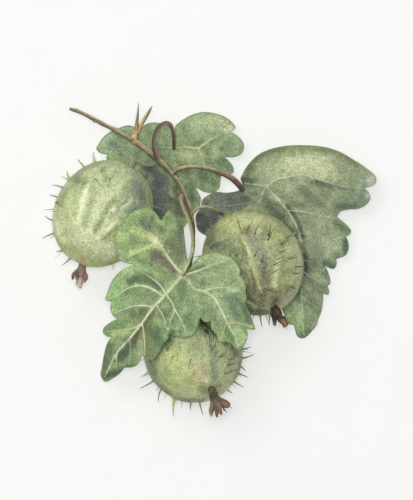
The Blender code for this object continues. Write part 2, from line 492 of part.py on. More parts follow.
def tube(path, sides, flatness=1.0):
    """Points and faces of a closed tube along (x, y, z, radius) points, with flat ends."""
    spine, radii = path[:, :3], path[:, 3]
    forward = np.gradient(spine, axis=0)
    forward /= np.linalg.norm(forward, axis=1)[:, None]
    across = np.cross(forward[0], (0, 0, 1))
    if np.linalg.norm(across) < 0.1:
        across = np.array([1.0, 0.0, 0.0])
    points, faces = [], []
    for centre, heading, radius in zip(spine, forward, radii):
        across = unit(across - heading * across.dot(heading))
        upward = np.cross(across, heading)
        for side in range(sides):
            turn = 2 * math.pi * side / sides
            offset = math.cos(turn) * across + flatness * math.sin(turn) * upward
            points.append(centre + radius * offset)
    for ring in range(len(spine) - 1):
        for side in range(sides):
            a, b = ring * sides + side, ring * sides + (side + 1) % sides
            faces.append((a, b, b + sides, a + sides))
    last = (len(spine) - 1) * sides
    faces.append(tuple(reversed(range(sides))))
    faces.append(tuple(range(last, last + sides)))
    return points, faces


def turn_outward(piece):
    shape = bmesh.new()
    shape.from_mesh(piece.data)
    bmesh.ops.recalc_face_normals(shape, faces=shape.faces)
    shape.to_mesh(piece.data)
    shape.free()


def tube_object(name, path, sides, paint, flatness=1.0, collection=None):
    made = mesh_object(name, *tube(path, sides, flatness), paint, collection)
    turn_outward(made)
    return made


def largest_body(mesh):
    """Drop every loose scrap that a cut has left beside the main body."""
    shape = bmesh.new()
    shape.from_mesh(mesh)
    todo, bodies = set(shape.verts), []
    while todo:
        stack = [todo.pop()]
        body = set(stack)
        while stack:
            for edge in stack.pop().link_edges:
                fresh = [vert for vert in edge.verts if vert not in body]
                body.update(fresh)
                stack.extend(fresh)
        todo -= body
        bodies.append(body)
    bodies.sort(key=len)
    scraps = [vert for body in bodies[:-1] for vert in body]
    bmesh.ops.delete(shape, geom=scraps, context="VERTS")
    shape.to_mesh(mesh)
    shape.free()


def apply_boolean(piece, operation, operand):
    """Join or cut a piece with an object, or with every object of a collection, for good."""
    change = piece.modifiers.new(operation, "BOOLEAN")
    change.operation = operation
    change.solver = "EXACT"
    if isinstance(operand, bpy.types.Collection):
        change.operand_type = "COLLECTION"
        change.collection = operand
        spent = list(operand.objects)
    else:
        change.object = operand
        spent = [operand]
    view = bpy.context.evaluated_depsgraph_get()
    result = bpy.data.meshes.new_from_object(piece.evaluated_get(view))
    piece.modifiers.clear()
    paint = piece.data.materials[0]
    piece.data = result
    result.materials.clear()
    result.materials.append(paint)
    result.shade_smooth()
    largest_body(result)
    for used in spent:
        bpy.data.objects.remove(used)


def grown_copy(piece, gap):
    """A copy pushed out by `gap` all over, which cuts the clear space round a piece."""
    shape = bmesh.new()
    shape.from_mesh(piece.data)
    shape.normal_update()
    for vert in shape.verts:
        vert.co += vert.normal * gap * MM
    mesh = bpy.data.meshes.new(piece.name + "_room")
    shape.to_mesh(mesh)
    shape.free()
    mesh.materials.append(piece.data.materials[0])
    room = bpy.data.objects.new(mesh.name, mesh)
    bpy.context.scene.collection.objects.link(room)
    return room


def trim(piece, *neighbours):
    for neighbour in neighbours:
        apply_boolean(piece, "DIFFERENCE", grown_copy(neighbour, GAP))


# ---------------------------------------------------------------- the pieces


def leaf_outline(leaf, spacing):
    """The edge of a blade as one closed walk, smooth between its notches."""
    runs = leaf["margin"]
    walk = []
    for run, following in zip(runs, runs[1:] + runs[:1]):
        walk.append(smooth_path(run + following[:1], spacing)[:-1])
    return np.vstack(walk)


def grid_inside(outline, veins, spacing):
    """Staggered points inside an outline that keep off its edge and off the veins."""
    low, high = outline.min(axis=0), outline.max(axis=0)
    rows = np.arange(low[1], high[1], spacing * math.sqrt(0.75))
    points = []
    for number, y in enumerate(rows):
        shift = 0.5 * spacing * (number % 2)
        points += [(x, y) for x in np.arange(low[0] + shift, high[0], spacing)]
    points = np.array(points)
    start, end = outline, np.roll(outline, -1, axis=0)
    x, y = points[:, :1], points[:, 1:]
    spans = (start[:, 1] > y) != (end[:, 1] > y)
    rise = np.where(end[:, 1] == start[:, 1], 1.0, end[:, 1] - start[:, 1])
    crossing = start[:, 0] + (y - start[:, 1]) * (end[:, 0] - start[:, 0]) / rise
    inside = (spans & (x < crossing)).sum(axis=1) % 2 == 1
    fixed = np.vstack([outline, veins])
    apart = ((points[:, None, :] - fixed[None, :, :]) ** 2).sum(axis=2).min(axis=1)
    return points[inside & (apart > (GRID_CLEARANCE * spacing) ** 2)]


def make_leaf(name, leaf, paint):
    outline = leaf_outline(leaf, EDGE_SPACING)
    paths = [smooth_path(vein, EDGE_SPACING) for vein in leaf["veins"]]
    inner = grid_inside(outline, np.vstack(paths)[:, :2], BLADE_SPACING)
    points = [tuple(point) for point in outline]
    edges = [(i, (i + 1) % len(outline)) for i in range(len(outline))]
    for path in paths:
        first = len(points)
        points += [tuple(point) for point in path[:, :2]]
        edges += [(i, i + 1) for i in range(first, len(points) - 1)]
    points += [tuple(point) for point in inner]
    flat, _, triangles, *_ = delaunay_2d_cdt(
        [Vector(point) for point in points], edges, [list(range(len(outline)))], 1, 1e-4
    )
    flat = np.array([tuple(point) for point in flat])
    fine = [smooth_path(vein, VEIN_STEP) for vein in leaf["veins"]]
    height = blade_height(leaf, fine)
    top = height(flat)
    right, away = np.array([SLOPE_REACH, 0.0]), np.array([0.0, SLOPE_REACH])
    slope_x = (height(flat + right) - height(flat - right)) / (2 * SLOPE_REACH)
    slope_y = (height(flat + away) - height(flat - away)) / (2 * SLOPE_REACH)
    depth = BLADE_THICKNESS * np.sqrt(1 + slope_x**2 + slope_y**2)
    under = np.maximum(top - depth, 0.0)
    count = len(flat)
    faces = [tuple(triangle) for triangle in triangles]
    borders = {}
    for a, b, c in faces:
        for edge in ((a, b), (b, c), (c, a)):
            borders[edge] = True
    walls = [
        (b, a, a + count, b + count) for a, b in borders if (b, a) not in borders
    ]
    faces += [(a + count, c + count, b + count) for a, b, c in faces] + walls
    solid = np.vstack([np.column_stack([flat, top]), np.column_stack([flat, under])])
    made = mesh_object(name, solid, faces, paint)
    turn_outward(made)
    return made


def make_twig(paint):
    twig = tube_object("twig", smooth_path(TWIG, TWIG_STEP), STEM_SIDES, paint)
    extras = bpy.data.collections.new("twig_extras")
    bpy.context.scene.collection.children.link(extras)
    for prong in THORN_PRONGS:
        path = smooth_path(prong, THORN_STEP)
        tube_object("prong", path, THORN_SIDES, paint, THORN_FLATNESS, extras)
    tube_object("bud", smooth_path(BUD, BUD_STEP), THORN_SIDES, paint, 1.0, extras)
    apply_boolean(twig, "UNION", extras)
    bpy.data.collections.remove(extras)
    return twig


def make_fruit(name, fruit, paint):
    """A ridged ball with its blossom end along the fruit's axis, flat where it rests."""
    axis = unit(fruit["blossom"])
    side = unit(np.cross(axis, (0.0, 0.0, 1.0)))
    other = np.cross(side, axis)
    centre, half_length = np.array(fruit["centre"]), fruit["half_length"]
    points = [centre - half_length * axis]
    for row in range(1, FRUIT_ROWS):
        polar = math.pi * row / FRUIT_ROWS
        for segment in range(FRUIT_SEGMENTS):
            turn = 2 * math.pi * segment / FRUIT_SEGMENTS
            ridge = 1 + RIDGE_HEIGHT * math.cos(FRUIT_RIDGES * turn)
            reach = fruit["radius"] * math.sin(polar) * ridge
            outward = math.cos(turn) * side + math.sin(turn) * other
            points.append(centre - half_length * math.cos(polar) * axis + reach * outward)
    points.append(centre + half_length * axis)
    last, first = len(points) - 1, len(points) - 1 - FRUIT_SEGMENTS
    faces = []
    for segment in range(FRUIT_SEGMENTS):
        following = (segment + 1) % FRUIT_SEGMENTS
        faces.append((0, 1 + segment, 1 + following))
        faces.append((last, first + following, first + segment))
        for row in range(FRUIT_ROWS - 2):
            a = 1 + row * FRUIT_SEGMENTS
            b = a + FRUIT_SEGMENTS
            faces.append((a + segment, b + segment, b + following, a + following))
    made = mesh_object(name, points, faces, paint)
    shape = bmesh.new()
    shape.from_mesh(made.data)
    cut = bmesh.ops.bisect_plane(
        shape,
        geom=shape.verts[:] + shape.edges[:] + shape.faces[:],
        plane_co=(0, 0, 0),
        plane_no=(0, 0, -1),
        clear_outer=True,
    )
    rim = [item for item in cut["geom_cut"] if isinstance(item, bmesh.types.BMEdge)]
    if rim:
        bmesh.ops.contextual_create(shape, geom=rim)
    shape.to_mesh(made.data)
    shape.free()
    turn_outward(made)
    return made


def surface_point(fruit, direction):
    """Where a ray from a fruit's middle leaves it, and the outward normal there."""
    axis = unit(fruit["blossom"])
    along = direction.dot(axis)
    across = direction - along * axis
    length, radius = fruit["half_length"], fruit["radius"]
    stretch = math.sqrt((along / length) ** 2 + across.dot(across) / radius**2)
    normal = unit(along / length**2 * axis + across / radius**2)
    return np.array(fruit["centre"]) + direction / stretch, normal


def make_calyx(name, fruit, strands, paint):
    """The dried flower: a short neck and shrivelled sepals, joined in one body."""
    heading = np.mean([strand[0][:3] for strand in strands], axis=0) - fruit["centre"]
    pole, axis = surface_point(fruit, unit(heading))
    neck = np.array([(*(pole + far * axis), CALYX_NECK * wide) for far, wide in NECK_STOPS])
    calyx = tube_object(name, neck, NECK_SIDES, paint)
    extras = bpy.data.collections.new(name + "_strands")
    bpy.context.scene.collection.children.link(extras)
    for strand in strands:
        first = np.array(strand[0])
        root = first[:3] + SEPAL_SINK * (pole - first[:3])
        path = smooth_path([(*root, first[3]), *strand], SEPAL_STEP)
        tube_object("strand", path, SEPAL_SIDES, paint, SEPAL_FLATNESS, extras)
    apply_boolean(calyx, "UNION", extras)
    bpy.data.collections.remove(extras)
    return calyx


def bristle_plan(key, fruit, draw):
    """Root, normal and tip of each bristle: those on the rim, then the rest, evenly spread."""
    axis = unit(fruit["blossom"])
    centre = np.array(fruit["centre"])
    plan = []
    for angle, tip in RIM_BRISTLES[key]:
        turn = math.radians(angle)
        root, normal = surface_point(fruit, np.array([math.cos(turn), math.sin(turn), 0.0]))
        plan.append((root, normal, np.array([*tip, centre[2] + draw.uniform(-TIP_WANDER, TIP_WANDER)])))
    golden = math.pi * (3 - math.sqrt(5))
    for number in range(BRISTLES_PER_FRUIT):
        z = 1 - 2 * (number + 0.5) / BRISTLES_PER_FRUIT
        turn = golden * number + draw.uniform(-0.25, 0.25)
        level = math.sqrt(1 - z * z)
        direction = np.array([level * math.cos(turn), level * math.sin(turn), z])
        length = draw.uniform(*BRISTLE_LENGTHS)
        if abs(direction.dot(axis)) > BARE_POLE or abs(z) < RIM_BAND:
            continue
        root, normal = surface_point(fruit, direction)
        lean = axis - normal * axis.dot(normal)
        plan.append((root, normal, root + length * unit(normal + BRISTLE_LEAN * lean)))
    return plan


def stands_clear(root, tip, others):
    """Whether a bristle from root to tip keeps its distance from every other piece."""
    if tip[2] < LOWEST_TIP or root[2] < LOWEST_ROOT:
        return False
    for share in CLEAR_SHARES:
        spot = Vector((root + share * (tip - root)) * MM)
        for tree in others:
            if tree.find_nearest(spot, CLEARANCE * MM)[0] is not None:
                return False
    return True


def add_bristles(key, piece, others, paint):
    """Three-sided bristles sunk into the fruit's skin and joined to it."""
    draw = random.Random("bristles of the " + key + " fruit")
    extras = bpy.data.collections.new(key + "_bristles")
    bpy.context.scene.collection.children.link(extras)
    trees = [
        BVHTree.FromPolygons(
            [vert.co for vert in other.data.vertices],
            [tuple(face.vertices) for face in other.data.polygons],
        )
        for other in others
    ]
    for root, normal, tip in bristle_plan(key, FRUITS[key], draw):
        if not stands_clear(root, tip, trees):
            continue
        heading = unit(tip - root)
        across = unit(np.cross(heading, (0.3, 0.5, 0.8)))
        upward = np.cross(across, heading)
        sunk = root - BRISTLE_SINK * normal
        foot = [
            sunk + BRISTLE_RADIUS * (math.cos(turn) * across + math.sin(turn) * upward)
            for turn in (0.0, 2 * math.pi / 3, 4 * math.pi / 3)
        ]
        faces = [(0, 1, 3), (1, 2, 3), (2, 0, 3), (2, 1, 0)]
        turn_outward(mesh_object("bristle", foot + [tip], faces, paint, extras))
    apply_boolean(piece, "UNION", extras)
    bpy.data.collections.remove(extras)


def main():
    for old in list(bpy.data.objects):
        bpy.data.objects.remove(old)
    paints = {name: material(name) for name in COLOURS}

    twig = make_twig(paints["bark"])
    leaves = {
        key: make_leaf("leaf_" + key, leaf, paints["leaf"]) for key, leaf in LEAVES.items()
    }
    fruits = {
        key: make_fruit("berry_" + key, fruit, paints["fruit"])
        for key, fruit in FRUITS.items()
    }
    stems = {}
    for name, route in STEMS.items():
        paint = paints["bark" if name in ("petiole_top", "petiole_right") else "petiole"]
        stems[name] = tube_object(name, smooth_path(route, STEM_STEP), STEM_SIDES, paint)
        kind, key = name.rsplit("_", 1)
        trim(stems[name], twig, (leaves if kind == "petiole" else fruits)[key])
    trim(stems["fruit_stalk_right"], stems["petiole_front"])
    trim(stems["fruit_stalk_bottom"], stems["petiole_front"], stems["fruit_stalk_right"])
    trim(stems["fruit_stalk_left"], stems["petiole_top"])

    calyxes = {}
    for key, fruit in FRUITS.items():
        calyx = make_calyx("calyx_" + key, fruit, CALYX_STRANDS[key], paints["calyx"])
        trim(calyx, fruits[key])
        calyxes[key] = calyx

    others = [twig, *leaves.values(), *stems.values(), *calyxes.values()]
    for key, piece in fruits.items():
        neighbours = [fruit for name, fruit in fruits.items() if name != key]
        add_bristles(key, piece, others + neighbours, paints["fruit"])

    sprig = bpy.data.objects.new("sprig", None)
    bpy.context.scene.collection.objects.link(sprig)
    sprig.location = (-MIDDLE[0] * MM, -MIDDLE[1] * MM, 0.0)
    for piece in others + list(fruits.values()):
        piece.parent = sprig


main()
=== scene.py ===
"""Looks of a cut gooseberry sprig that lies on a pale floor, seen from straight above.

Lengths are in millimetres from the sprig's own reference point, as in the model it dresses,
X to the right, Y away and Z up; meshes are made in metres in the model's frame.
"""

import math
import random

import bpy
import numpy as np
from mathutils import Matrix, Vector
from mathutils.bvhtree import BVHTree
from mathutils.geometry import delaunay_2d_cdt
from mathutils.kdtree import KDTree


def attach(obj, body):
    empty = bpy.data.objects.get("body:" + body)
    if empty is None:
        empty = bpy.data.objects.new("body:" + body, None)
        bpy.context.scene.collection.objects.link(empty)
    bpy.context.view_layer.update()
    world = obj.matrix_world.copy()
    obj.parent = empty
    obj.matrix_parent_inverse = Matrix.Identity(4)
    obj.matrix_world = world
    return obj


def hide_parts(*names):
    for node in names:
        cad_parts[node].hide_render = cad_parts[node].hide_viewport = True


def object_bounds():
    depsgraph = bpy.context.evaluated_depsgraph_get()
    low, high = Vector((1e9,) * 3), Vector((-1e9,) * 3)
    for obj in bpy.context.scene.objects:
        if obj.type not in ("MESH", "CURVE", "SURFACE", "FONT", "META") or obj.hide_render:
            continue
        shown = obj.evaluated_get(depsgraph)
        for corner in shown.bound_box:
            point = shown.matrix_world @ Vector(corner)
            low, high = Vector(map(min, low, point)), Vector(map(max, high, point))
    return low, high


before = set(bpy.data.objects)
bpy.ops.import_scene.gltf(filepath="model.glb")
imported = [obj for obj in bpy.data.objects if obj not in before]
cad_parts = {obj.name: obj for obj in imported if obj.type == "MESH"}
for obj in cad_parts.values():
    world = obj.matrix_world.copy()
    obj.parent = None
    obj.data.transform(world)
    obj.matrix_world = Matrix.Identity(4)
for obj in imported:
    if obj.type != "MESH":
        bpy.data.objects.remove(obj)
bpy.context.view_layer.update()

MM = 0.001
MIDDLE = (-1.6, 0.3)  # the sprig's reference point in the model's frame, with its sign turned
GAP = 0.25  # clear space that the model keeps between touching pieces

FRUIT_RIDGES = 10
RIDGE_HEIGHT = 0.008  # this and the next two are shares of the radius
SKIN_WAVE = 0.0035
STRIPE_RISE = 0.0015
STALK_DIMPLE = (0.6, 0.22)  # depth, and reach in radians from the end of the fruit
FLOWER_DIMPLE = (0.3, 0.2)
FRUIT_SEGMENTS = 240
FRUIT_ROWS = 130
BRISTLE_RADIUS = 0.19
BRISTLE_TIP = 0.22  # share of the radius left at the tip
BRISTLES_PER_FRUIT = 54
BRISTLE_LENGTHS = (1.6, 3.4)
BRISTLE_LEAN = 0.35  # how far a bristle leans to the flower end
RIM_BRISTLE_THICKNESS = 1.5  # these five are shares of BRISTLE_RADIUS
PALE_BRISTLE_THICKNESS = 2.5
FACE_BRISTLE_THICKNESS = 0.85
UPPER_BRISTLE_THICKNESS = 0.55
LOWER_BRISTLE_THICKNESS = 0.8
BRISTLE_SIDES = 6
BRISTLE_RINGS = 9
CLEAR_SHARES = (0.35, 0.55, 0.7, 0.85, 1.0, 1.15)  # places along a bristle that keep clear
STREAK_STRETCH = 0.45  # of the skin pattern along a fruit, for each radian
DOWN_PER_FRUIT = 700
DOWN_LENGTHS = (0.3, 0.8)
DOWN_RADIUS = 0.035
DOWN_TINT = (214, 220, 180)
FUZZY_FRUIT = "bottom"  # it has longer pale hairs near the stalk end
FUZZ_COUNT = 110
FUZZ_X = (-8.6, 0.6)
FUZZ_Y = (-22.6, -18.8)
FUZZ_RISE = (1.2, 2.4)
FUZZ_LIFT = 0.35
FUZZ_RADIUS = 0.07
SEPAL_FLATNESS = 0.5
CALYX_NECK = 0.95
NECK_STOPS = [(-0.8, 1.0), (0.0, 1.0), (0.8, 0.95), (1.8, 1.05), (2.8, 0.8)]
SEPAL_SINK = 0.75  # share of its first stretch that a strand starts inside the neck
NECK_SIDES = 28
SEPAL_SIDES = 18
THREADS_PER_SEPAL = 2
THREAD_RADII = (0.15, 0.13, 0.09)
FLOWER_VOXEL = 0.09
TWIG_VOXEL = 0.11
TWIG_KNOTS = [(0.30, 1.12), (0.44, 1.15)]  # share of the way along, thickness
KNOT_FORM = [(-1.0, 0.9), (-0.4, 1.1), (0.0, 1.2), (0.4, 1.1), (1.0, 0.9)]  # shift, thickness
STEM_SIDES = 24
STEM_SPACING = 0.2
STEM_FLARE = 0.15
FIBRE_STRETCH = 0.16  # turns of the fibre pattern for each millimetre along a stem
BARK_FOLDS = 0.045
BARK_LUMPS = 0.03
CUT_TINT = (92, 80, 62)
MODEL_THICKNESS = 0.7  # of the blades in the model
BLADE_THICKNESS = 0.42
RIM_THICKNESS = 0.24
BLADE_SPACING = 0.34
EDGE_SPACING = 0.3
QUILT_HEIGHT = 0.45
QUILT_WIDTH = 1.7
CRUMPLE = 0.15
BRANCH_PILLOW = 0.15
VEIN_SPACING = 0.08
VEIN_HEIGHT = 0.12
VEIN_WIDTH = 0.13
VEIN_GROWTH = 0.006  # extra half width for each millimetre of a vein's length
SIDE_VEIN_WIDTH = 0.10
AXIL_PAINTED_SHADE = 0.16  # how much painted shade darkens a blade in the angle between two veins
AXIL_REACH = 1.8
LIGHT_WAY = (-0.6, 0.8)  # to the side of the veins that is painted lit
VEIN_PAINTED_SHADES = (0.10, 0.22)  # how much painted light lightens a vein's lit side and painted shade darkens the other
VEIN_RELIEF = 0.16  # how much thicker a blade is at a vein
SIDE_VEIN_EVERY = 2.1
SIDE_VEIN_STEP = 0.3

FRUITS = {
    "left": {
        "centre": (-28.2, 11.75, 11.65), "blossom": (-0.53, -0.848, 0), "radius": 11.9, "half_length": 14.05,
    },
    "right": {
        "centre": (9.3, -0.55, 13.6), "blossom": (0.5, -0.8, 0.33), "radius": 12.35, "half_length": 13.75,
    },
    "bottom": {
        "centre": (-5.54, -22.91, 12.28), "blossom": (0.32, -0.72, 0.62), "radius": 12.35, "half_length": 13,
    },
}

# Bristles: a root on the rim as a compass angle in degrees, then the tip (x, y).
RIM_BRISTLES = {
    "left": [
        (112, (-34.6, 25.3)), (99, (-30.6, 27.2)), (134, (-37.2, 22.4)), (147, (-40.9, 18.9)),
        (160, (-41.6, 16.4)), (188, (-42.7, 11.2)), (202, (-43.4, 5.5)), (222, (-39.9, 2.2)),
        (234, (-38.4, -1.2)),
    ],
    "right": [
        (10, (22.4, 1.8)), (-4, (22.6, -1.8)), (20, (22.3, 4.4)), (-24, (21.8, -6.8)), (35, (20.8, 8.4)),
        (-82, (11.6, -16.6)), (-72, (13.4, -15.9)), (55, (17, 11.2)),
    ],
    "bottom": [
        (-131, (-14.3, -35.3)), (-112, (-10.5, -39)), (-93, (-6.3, -37.4)), (-83, (-3.1, -38.6)),
        (-155, (-18.6, -29.1)), (-144, (-18.9, -32)), (-48, (4.2, -33.2)), (-36, (7, -31.7)),
        (-25, (8.2, -29.3)), (-17, (7.5, -27.7)), (-7, (9.6, -23.4)), (3, (8.7, -21.6)),
    ],
}

# Dried flowers: x, y, z and half width of each point that a shrivelled strand bends through.
CALYX_STRANDS = {
    "left": [
        [(-34.4, -2.4, 12.6, 0.36), (-35.2, -2.9, 12.9, 0.38), (-35.7, -3.6, 12.8, 0.34),
         (-35.8, -4.5, 12.4, 0.24)],
        [(-34.6, -3, 13, 0.3), (-35, -3.7, 13.1, 0.26), (-34.8, -4.3, 12.9, 0.18)],
        [(-34.2, -2.8, 12.2, 0.62), (-34.3, -4.4, 12.1, 0.64), (-34.7, -5.9, 12, 0.34)],
        [(-33.7, -3, 12.5, 0.52), (-33.9, -5, 12.4, 0.52), (-34.4, -6.6, 12.2, 0.26)],
        [(-33.4, -3.2, 11.8, 0.5), (-33.5, -5.2, 11.8, 0.46), (-33.8, -6.9, 11.9, 0.24)],
        [(-32.9, -2.9, 12.4, 0.5), (-32.4, -3.9, 12.5, 0.58), (-32.6, -5, 12.4, 0.44),
         (-33, -5.5, 12.2, 0.24)],
    ],
    "right": [
        [(14.4, -12.6, 19.2, 0.7), (14.7, -14.4, 19.4, 0.62), (14.8, -16.2, 19.2, 0.42)],
        [(15.4, -12.8, 19.6, 0.72), (16.4, -14.6, 19.9, 0.86), (17.6, -16.5, 19.8, 0.7)],
        [(15.8, -12.2, 20.1, 0.42), (16.3, -13.2, 20.4, 0.36), (16.4, -14.1, 20.4, 0.22)],
        [(14.1, -12.2, 20, 0.42), (13.9, -13.2, 20.4, 0.32), (14, -14.1, 20.5, 0.2)],
    ],
    "bottom": [
        [(-0.9, -34, 21.9, 0.62), (-0.8, -36.2, 21.6, 0.56), (-1.1, -37.9, 21.2, 0.62),
         (-1.1, -38.7, 21, 0.44)],
        [(-0.2, -34.4, 22.2, 0.62), (0.2, -36.8, 21.8, 0.6), (0.4, -39.1, 21.3, 0.28)],
        [(0.3, -34.8, 22.4, 0.56), (0.9, -36.8, 22.2, 0.64), (1.4, -38.4, 21.9, 0.44)],
        [(0.5, -34.4, 22.7, 0.28), (1.6, -36.2, 22.8, 0.26), (2.4, -37.5, 22.6, 0.16)],
        [(0.7, -34.2, 22.6, 0.46), (1.9, -35.2, 22.8, 0.66), (3, -36.1, 22.7, 0.86),
         (3.4, -36.4, 22.6, 0.66)],
    ],
}

# Stems: x, y, z and radius of each point that the stem bends through.
TWIG = [
    (-36.5, 38, 10.2, 0.4), (-34.6, 37.4, 10.8, 0.46), (-32, 36.2, 11.6, 0.5), (-30, 35.1, 12.2, 0.52),
    (-27.5, 33.8, 13, 0.52), (-25, 32.5, 13.8, 0.54), (-22.5, 31.1, 14.6, 0.56), (-20, 29.6, 15.4, 0.6),
    (-18, 28.2, 16, 0.64), (-16, 26.6, 16.6, 0.72), (-14.3, 25.1, 17.1, 0.82), (-12.6, 23.4, 17.6, 0.68),
    (-10.8, 21.4, 18.2, 0.64), (-9.3, 19.4, 18.7, 0.62), (-8.1, 16.8, 19.2, 0.62), (-7, 14.2, 19.6, 0.6),
    (-6.2, 11.8, 20, 0.56), (-5.7, 9.4, 20.2, 0.52),
]
THORN_PRONGS = [
    [(-20, 29.8, 14.9, 0.8), (-20.1, 30.7, 15.4, 0.96), (-20, 31.8, 15.8, 0.82), (-19.8, 33.2, 16.3, 0.6),
     (-19.6, 35, 16.8, 0.43), (-19.4, 37.2, 17.3, 0.28), (-19.2, 39.8, 17.8, 0.06)],
    [(-19.7, 31.4, 15.6, 0.66), (-19, 33, 16, 0.58), (-18.2, 34.6, 16.2, 0.52), (-17, 36.6, 16.4, 0.44),
     (-16.3, 37.8, 16.5, 0.29), (-15.7, 38.7, 16.5, 0.07)],
]
BUD = [(-30, 35.3, 12.2, 0.5), (-30.2, 34.8, 12.3, 0.36), (-30.4, 34.4, 12.3, 0.12)]
STEMS = {
    "petiole_top": [
        (-14.2, 25.1, 17.1, 0.74), (-14.9, 26.8, 18.2, 0.7), (-15.3, 28.5, 19, 0.56),
        (-15.3, 30.3, 19.8, 0.5), (-14.8, 32.1, 20.2, 0.49), (-13.8, 33.6, 20.2, 0.49),
        (-12.5, 34.3, 19.4, 0.5), (-11.3, 33.9, 17.8, 0.49), (-10.65, 32.5, 15, 0.46),
        (-10.35, 30.6, 11.5, 0.43), (-10.4, 28.8, 8.2, 0.42), (-10.4, 28, 6.2, 0.44),
    ],
    "petiole_right": [
        (-10.7, 21.3, 18.3, 0.46), (-9.9, 22.3, 19.4, 0.48), (-8.3, 23.1, 20, 0.48),
        (-6.2, 23.4, 20.1, 0.48), (-3.4, 23.2, 19.6, 0.5), (-0.4, 22.5, 18.2, 0.56), (2, 21.6, 16.5, 0.64),
        (4, 20.6, 14.8, 0.74), (5.4, 19.4, 13.1, 0.78), (6.2, 18.4, 11.9, 0.72), (6.8, 17.6, 11, 0.6),
    ],
    "petiole_front": [
        (-8.2, 16.4, 19.2, 0.52), (-8.4, 15.2, 20.6, 0.5), (-8, 13.6, 21.3, 0.5), (-7, 11.2, 21.9, 0.5),
        (-6.1, 8.4, 22.4, 0.5), (-5.6, 5.4, 23.3, 0.5), (-5.7, 2.5, 25, 0.5), (-6.3, 0.4, 26.7, 0.52),
        (-6.9, -1, 27.5, 0.54), (-7.6, -2.4, 27.7, 0.54), (-8.2, -3.6, 26.7, 0.52),
    ],
    "fruit_stalk_left": [
        (-14.4, 25.1, 17, 0.45), (-15.6, 24, 15.6, 0.45), (-17.5, 23.9, 14.2, 0.45),
        (-18.9, 24.6, 13.1, 0.47), (-19.9, 24.7, 12.5, 0.5), (-21, 23, 12.1, 0.52),
    ],
    "fruit_stalk_right": [
        (-6.1, 11.2, 20, 0.42), (-5.4, 12.2, 20.8, 0.42), (-4.3, 13.1, 21.3, 0.43), (-2.9, 13.4, 21.2, 0.44),
        (-1.4, 13.1, 20, 0.44), (-0.1, 12.5, 17.6, 0.45), (0.7, 12.1, 14.6, 0.45), (1.1, 12, 11, 0.46),
        (1.8, 11.7, 8.7, 0.5), (3.4, 9.9, 8.4, 0.52),
    ],
    "fruit_stalk_bottom": [
        (-5.8, 10, 20.1, 0.45), (-5.5, 8, 19, 0.42), (-5.6, 5, 18.4, 0.42), (-6, 1, 18, 0.42),
        (-7, -3.5, 16.4, 0.42), (-8.6, -6.5, 12.5, 0.42), (-9.9, -9.2, 7.5, 0.43), (-10.5, -11.3, 4.4, 0.46),
        (-10.3, -12.8, 3.6, 0.5), (-9.4, -14.2, 4.6, 0.52),
    ],
}

# Leaves. "margin": runs of edge points going round once; a run starts in a notch or at a sharp
# place and ends where the next begins. "veins": points along each vein with their heights.
# "pins": edge and blade points with heights that the blade passes through.
FRONT_MARGIN = [
    [(-6.9, -2.2), (-7, 0), (-7.4, 3), (-7.8, 6.5), (-8.2, 8.8), (-9.5, 10.3), (-11.6, 12.5)],
    [(-13.7, 10), (-15, 12), (-17, 13.2), (-20.5, 12.3), (-23, 10), (-24.6, 7.6), (-25.1, 5), (-24.6, 2)],
    [(-24, 0), (-22.5, -0.6), (-20.6, -1)],
    [(-20.4, -1.1), (-23.5, -2.5), (-25.8, -5), (-27, -8), (-27.5, -9.8)],
    [(-26, -10.3), (-26.3, -12), (-25.8, -13.5)],
    [(-24.6, -14.6), (-26.2, -15.4), (-28, -16.9), (-28.1, -18.1), (-27.1, -19)],
    [(-26.1, -19.2), (-27, -20.5), (-27.8, -23), (-28.5, -27), (-28.8, -28.6), (-27.7, -30.4),
     (-25.2, -29.2), (-23.9, -28.2)],
    [(-22.7, -26.8), (-21, -26.7), (-19.7, -26.2), (-18.8, -25)],
    [(-18.3, -23.6), (-17.3, -24.9), (-15.5, -24.6), (-13.8, -22.5)],
    [(-12.9, -20.6), (-12.3, -20.2), (-11.7, -19.2)],
    [(-11.5, -18.1), (-10.5, -18.8), (-8, -19.1), (-6, -18.7), (-5, -17.8), (-4.6, -17)],
    [(-3.8, -14.2), (-2.9, -15.2), (-1.9, -15.4), (-1.3, -15)],
    [(-1.2, -15.6), (-1.1, -17), (-0.4, -17.8), (0.4, -18.8)],
    [(0.6, -20.2), (2, -20.3), (3.6, -20.6), (5.3, -22.3), (6.2, -22.7), (7.3, -21), (7.9, -19.5), (8, -18)],
    [(7.7, -17.1), (8.7, -17.2), (9.9, -17.2), (9.5, -15.8), (8.9, -14), (8.2, -12.2)],
    [(7.4, -10.5), (7.8, -9.2), (7.5, -8), (7.6, -6.5), (6.9, -4.6)],
    [(6.1, -3.5), (6.1, -2.2), (5, -0.4), (3, 1.2), (0.5, 2), (-2, 1.8), (-4, 1), (-5.4, -0.3),
     (-6.3, -1.7)],
]
